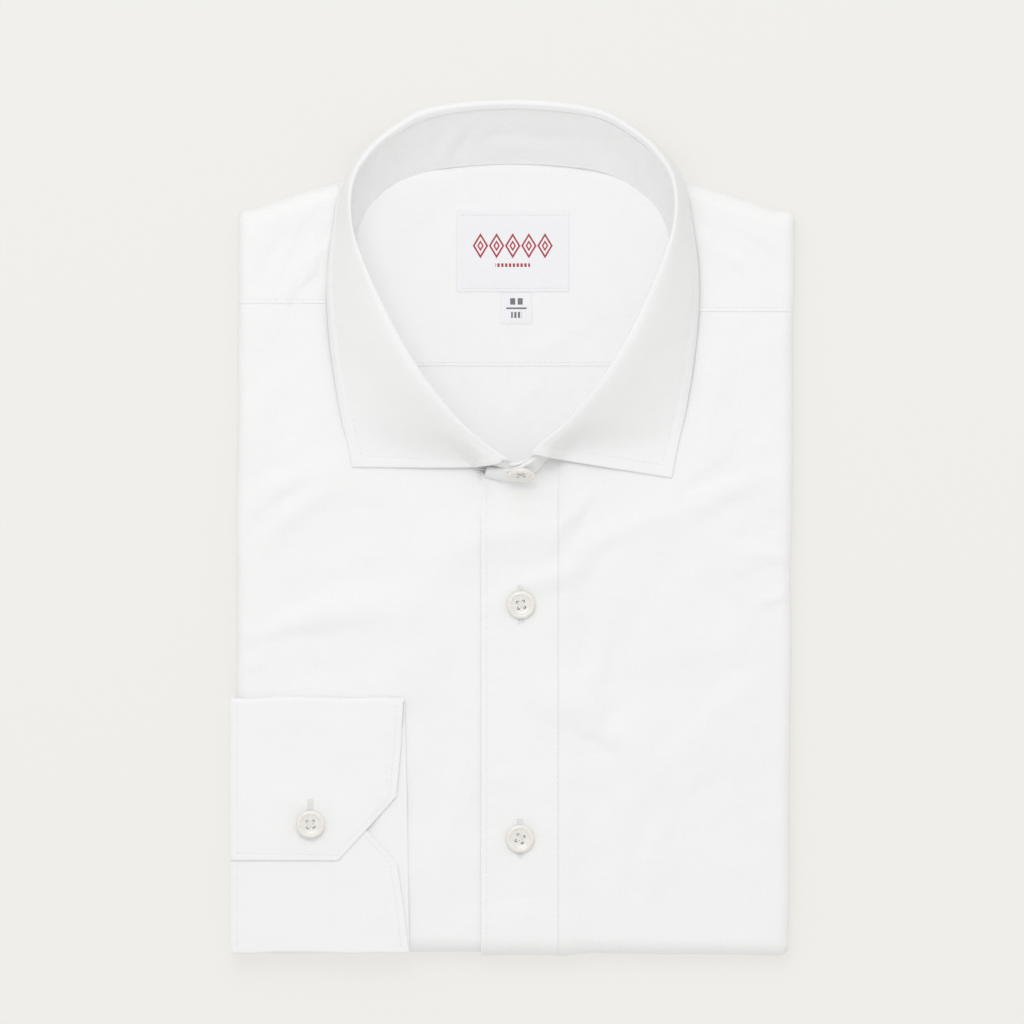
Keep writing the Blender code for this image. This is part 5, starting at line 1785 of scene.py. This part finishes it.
class ShirtLabels(bpy.types.PropertyGroup):
    """Labels"""

    ground: colour_setting("Label", "Colour of the labels' ground", (0.86, 0.858, 0.885))
    figure: colour_setting("Figure", "Colour of the large label's woven figure", (0.42, 0.035, 0.05))
    bars: colour_setting("Bars", "Colour of the small label's bars", (0.16, 0.16, 0.18))


class ShirtStage(bpy.types.PropertyGroup):
    """Floor, light and camera"""

    floor: colour_setting("Floor", "Colour that the pale floor shows", (0.863, 0.855, 0.823))
    floor_glow: bpy.props.FloatProperty(
        name="Floor glow", description="Share of the floor's brightness that shadows don't take away",
        subtype="FACTOR", default=0.70, min=0.0, max=1.0,
    )
    key_power: bpy.props.FloatProperty(
        name="Key light", description="Power of the soft light beyond the collar", unit="POWER",
        default=7.4, min=0.0, max=200.0,
    )
    sky: bpy.props.FloatProperty(
        name="Sky", description="Brightness of the even light from above", default=0.795, min=0.0, max=2.0,
    )
    view_width: length_setting("View width", "Width that the camera takes in, at the cloth", 0.425, 0.2, 2.0)
    lens: bpy.props.FloatProperty(
        name="Lens", description="Focal length of the camera, in millimetres", default=400.0, min=50.0,
        max=600.0,
    )


# --- Operators -------------------------------------------------------------------------------------


class ShirtOperator(bpy.types.Operator):
    """Shared settings of the shirt's operators"""

    bl_options = {"REGISTER", "UNDO"}


class SHIRT_OT_fold_stack(ShirtOperator):
    """Build the hidden folded layers, with the edges that show at the sides"""

    bl_idname = "shirt.fold_stack"
    bl_label = "Folded layers"

    def execute(self, context):
        folded_stack()
        return {"FINISHED"}


class SHIRT_OT_fronts(ShirtOperator):
    """Build both fronts and the placket between them"""

    bl_idname = "shirt.fronts"
    bl_label = "Fronts and placket"

    def execute(self, context):
        right, right_points = right_front()
        left, left_points = left_front()
        band, band_points = placket_band()
        sewn = [placket_stitches()]
        for node in ("button_chest", "button_belly"):
            centre, _, _ = middle_of(node)
            sewn.append(satin_hole(node + "_hole", centre[0], centre[1], placket_top))
        return {"FINISHED"}


class SHIRT_OT_yokes(ShirtOperator):
    """Build the yoke over both shoulders, with its front seams"""

    bl_idname = "shirt.yokes"
    bl_label = "Yoke"

    def execute(self, context):
        for name, node, side in (("right_yoke", "yoke_right", -1), ("left_yoke", "yoke_left", 1)):
            ob, points, lines = shoulder_yoke(name, node, side)
            sewn = seam_stitches(name + "_stitches", lines)
        return {"FINISHED"}


class SHIRT_OT_inside(ShirtOperator):
    """Build the inside of the yoke and of the back, as they show in the neck"""

    bl_idname = "shirt.inside"
    bl_label = "Inside of the back"

    def execute(self, context):
        seam = INNER_YOKE_SEAM_Y
        ys = spaced(seam, INNER_YOKE_TOP_Y, STEP, RIM)
        yoke, yoke_points = inside_panel("yoke_inside", "inner_yoke", ys, True)
        ys = spaced(BACK_INSIDE_Y, seam + SEAM_LAP, STEP, RIM)
        back, back_points = inside_panel("back_inside_cloth", "back_inside", ys, False)
        reach = neck_side(np.array([seam]))[0] - 2.0
        xs = np.arange(-reach, reach, 0.8)
        seam_ys = np.full_like(xs, seam + 1.6)
        height = PANEL_TOP + inside_relief(xs, seam_ys) + LAP_STEP + 0.03
        sewn = seam_stitches("inner_seam_stitches", [line_on_body(xs, seam_ys, height)])
        return {"FINISHED"}


class SHIRT_OT_collar(ShirtOperator):
    """Build the collar: its stand, its turned-down leaves and their stitches"""

    bl_idname = "shirt.collar"
    bl_label = "Collar"

    def execute(self, context):
        leaves, upper, lower, middle = collar_leaves()
        sewn = leaf_stitches((upper, lower, middle))
        band, upper, lower, middle = collar_band()
        sewn = band_stitches(upper, lower, middle)
        return {"FINISHED"}


class SHIRT_OT_cuff(ShirtOperator):
    """Build the cuff that lies on the front, and the sleeve that comes round the side to it"""

    bl_idname = "shirt.cuff"
    bl_label = "Cuff and sleeve"

    def execute(self, context):
        cuff, upper, lower, middle = barrel_cuff()
        sewn = [cuff_stitches((upper, lower, middle))]
        centre, _, _ = middle_of("button_cuff")
        sewn.append(satin_hole("cuff_hole", centre[0], centre[1] + 2.4, cuff_top))
        sleeve, points = sleeve_end()
        return {"FINISHED"}


class SHIRT_OT_buttons(ShirtOperator):
    """Build the four shell buttons with their threads"""

    bl_idname = "shirt.buttons"
    bl_label = "Buttons"

    def execute(self, context):
        mesh = button_mesh()
        for name, node, turn in (
            ("chest_button", "button_chest", 0.18),
            ("belly_button", "button_belly", -0.3),
            ("cuff_button", "button_cuff", 0.08),
        ):
            centre, low, _ = middle_of(node)
            spot = (centre[0], centre[1], low[2] + BUTTON_LIFT)
            sewn_button(name, node, mesh, spot, BUTTON_FACES, turn)
        collar_button(mesh)
        bpy.data.meshes.remove(mesh)
        return {"FINISHED"}


def collar_button(mesh):
    """The collar button stands on the over end of the band and tilts with it."""
    end, tip = LEAF_END[1], OVER_BAND[0]
    share = (COLLAR_BUTTON_X - tip[0]) / (end[0] - tip[0])
    foot = np.array([COLLAR_BUTTON_X, mix(tip[1], end[1], share), 0.0])
    foot[2] = core_top(foot[0], foot[1]) + STAND_LIFT
    top = np.array([COLLAR_BUTTON_X, mix(tip[3], end[3], share), mix(tip[4], end[4], share)])
    rise = top - foot
    out = np.array([0.0, -rise[2], rise[1]]) / math.hypot(rise[1], rise[2])
    spot = mix(foot, top, COLLAR_BUTTON_SHARE) + out * (COLLAR_CLOTH / 2.0 + COLLAR_BUTTON_SHANK)
    sewn_button("collar_button", "button_collar", mesh, spot, out, 0.1)


class SHIRT_OT_labels(ShirtOperator):
    """Build the woven label and the small label under it"""

    bl_idname = "shirt.labels"
    bl_label = "Labels"

    def execute(self, context):
        look = context.scene.shirt_labels
        ground = tuple(look.ground)
        large = kept_material("label_damask", figured_label, ground, tuple(look.figure), lozenge_mask)
        small = kept_material("size_label_weave", figured_label, ground, tuple(look.bars), bar_mask)
        label, points = flat_label("neck_label", "brand_label", large, 1.6)
        _, low, high = middle_of("brand_label")
        xs = np.arange(low[0] + 1.5, high[0] - 1.0, 0.8)
        lines = [label_line(xs, np.full_like(xs, edge)) for edge in (low[1] + 1.6, high[1] - 1.6)]
        sewn = seam_stitches("label_stitches", lines)
        tab, points = flat_label("size_label", "size_tab", small, 0.9)
        return {"FINISHED"}


class SHIRT_OT_stage(ShirtOperator):
    """Build the floor, the soft light and the camera"""

    bl_idname = "shirt.stage"
    bl_label = "Studio"

    def execute(self, context):
        look = context.scene.shirt_stage
        build_floor(look)
        build_light(look)
        build_camera(look)
        context.scene.view_settings.view_transform = "Standard"
        return {"FINISHED"}


FLOOR_HALF = 40.0


def build_floor(look):
    points = [(sx * FLOOR_HALF, sy * FLOOR_HALF, 0.0) for sx, sy in ((-1, -1), (1, -1), (1, 1), (-1, 1))]
    mesh = bpy.data.meshes.new("floor")
    mesh.from_pydata(points, [], [(0, 1, 2, 3)])
    material, tree, shader = new_material("pale_floor")
    glow, tone = look.floor_glow, tuple(look.floor)
    place = add_node(tree, "ShaderNodeTexCoord").outputs["Object"]
    grain = add_node(tree, "ShaderNodeTexNoise", {"Vector": place, "Scale": 3.0, "Detail": 2.0})
    grain = grain.outputs["Fac"]
    tint = blend(tree, grain, weaker(tone, (1.0 - glow) * 0.985), weaker(tone, 1.0 - glow))
    tree.links.new(tint, shader.inputs["Base Color"])
    shader.inputs["Roughness"].default_value = 1.0
    shader.inputs["Specular IOR Level"].default_value = 0.0
    shader.inputs["Emission Color"].default_value = (*tone, 1.0)
    shader.inputs["Emission Strength"].default_value = glow
    mesh.materials.append(material)
    floor = bpy.data.objects.new("floor", mesh)
    bpy.context.scene.collection.objects.link(floor)


def build_light(look):
    """An even pale room, with a broad light and a small bright one beyond the collar."""
    world = bpy.data.worlds.new("studio")
    bpy.context.scene.world = world
    world.use_nodes = True
    tree = world.node_tree
    background = tree.nodes["Background"]
    ray = add_node(tree, "ShaderNodeTexCoord").outputs["Generated"]
    height = add_node(tree, "ShaderNodeSeparateXYZ", {0: ray}).outputs["Z"]
    tone = blend(tree, ramp(tree, height, 0.1, 0.42), (*look.floor, 1.0), (look.sky,) * 3 + (1.0,))
    tree.links.new(tone, background.inputs["Color"])
    background.inputs["Strength"].default_value = 1.0
    for name, size, power_share in LIGHTS:
        lamp = bpy.data.lights.new(name, "AREA")
        lamp.shape, lamp.size, lamp.energy = "SQUARE", size, look.key_power * power_share
        light = bpy.data.objects.new(name, lamp)
        light.location = LIGHT_PLACE
        light.rotation_mode = "QUATERNION"
        light.rotation_quaternion = light.location.to_track_quat("Z", "Y")
        bpy.context.scene.collection.objects.link(light)


SPARK_SHARE = 0.22
LIGHT_PLACE = (-0.2, 0.7, 1.6)  # in metres
LIGHTS = (("key", 1.2, 1.0), ("spark", 0.16, SPARK_SHARE))  # size and share of the key power
VIEW_CENTRE = (-0.4, 6.4)
CLOTH_LEVEL = 15.0


def build_camera(look):
    """A long lens straight above the shirt."""
    data = bpy.data.cameras.new("camera")
    data.lens, data.sensor_width = look.lens, 36.0
    data.clip_start, data.clip_end = 0.1, 100.0
    camera = bpy.data.objects.new("camera", data)
    distance = look.view_width * look.lens / data.sensor_width
    camera.location = (VIEW_CENTRE[0] * MM, VIEW_CENTRE[1] * MM, CLOTH_LEVEL * MM + distance)
    bpy.context.scene.collection.objects.link(camera)
    bpy.context.scene.camera = camera


BUILDERS = (
    SHIRT_OT_stage,
    SHIRT_OT_fold_stack,
    SHIRT_OT_fronts,
    SHIRT_OT_yokes,
    SHIRT_OT_inside,
    SHIRT_OT_collar,
    SHIRT_OT_cuff,
    SHIRT_OT_buttons,
    SHIRT_OT_labels,
)
GROUPS = (
    ("shirt_cloth", ShirtCloth),
    ("shirt_buttons", ShirtButtons),
    ("shirt_labels", ShirtLabels),
    ("shirt_stage", ShirtStage),
)


class SHIRT_PT_builders(bpy.types.Panel):
    """Buttons that build the shirt's pieces, with their settings"""

    bl_idname = "SHIRT_PT_builders"
    bl_label = "Folded dress shirt"
    bl_space_type = "VIEW_3D"
    bl_region_type = "UI"
    bl_category = "Shirt"

    def draw(self, context):
        layout = self.layout
        for name, group in GROUPS:
            box = layout.box()
            box.label(text=group.__doc__)
            for setting in group.__annotations__:
                box.prop(getattr(context.scene, name), setting)
        for builder in BUILDERS:
            layout.operator(builder.bl_idname)


def register():
    for name, group in GROUPS:
        bpy.utils.register_class(group)
        setattr(bpy.types.Scene, name, bpy.props.PointerProperty(type=group))
    for each in (*BUILDERS, SHIRT_PT_builders):
        bpy.utils.register_class(each)


def unregister():
    for each in (SHIRT_PT_builders, *reversed(BUILDERS)):
        bpy.utils.unregister_class(each)
    for name, group in reversed(GROUPS):
        delattr(bpy.types.Scene, name)
        bpy.utils.unregister_class(group)


def main():
    register()
    for builder in BUILDERS:
        group, name = builder.bl_idname.split(".")
        getattr(getattr(bpy.ops, group), name)()


if __name__ == "__main__":
    main()
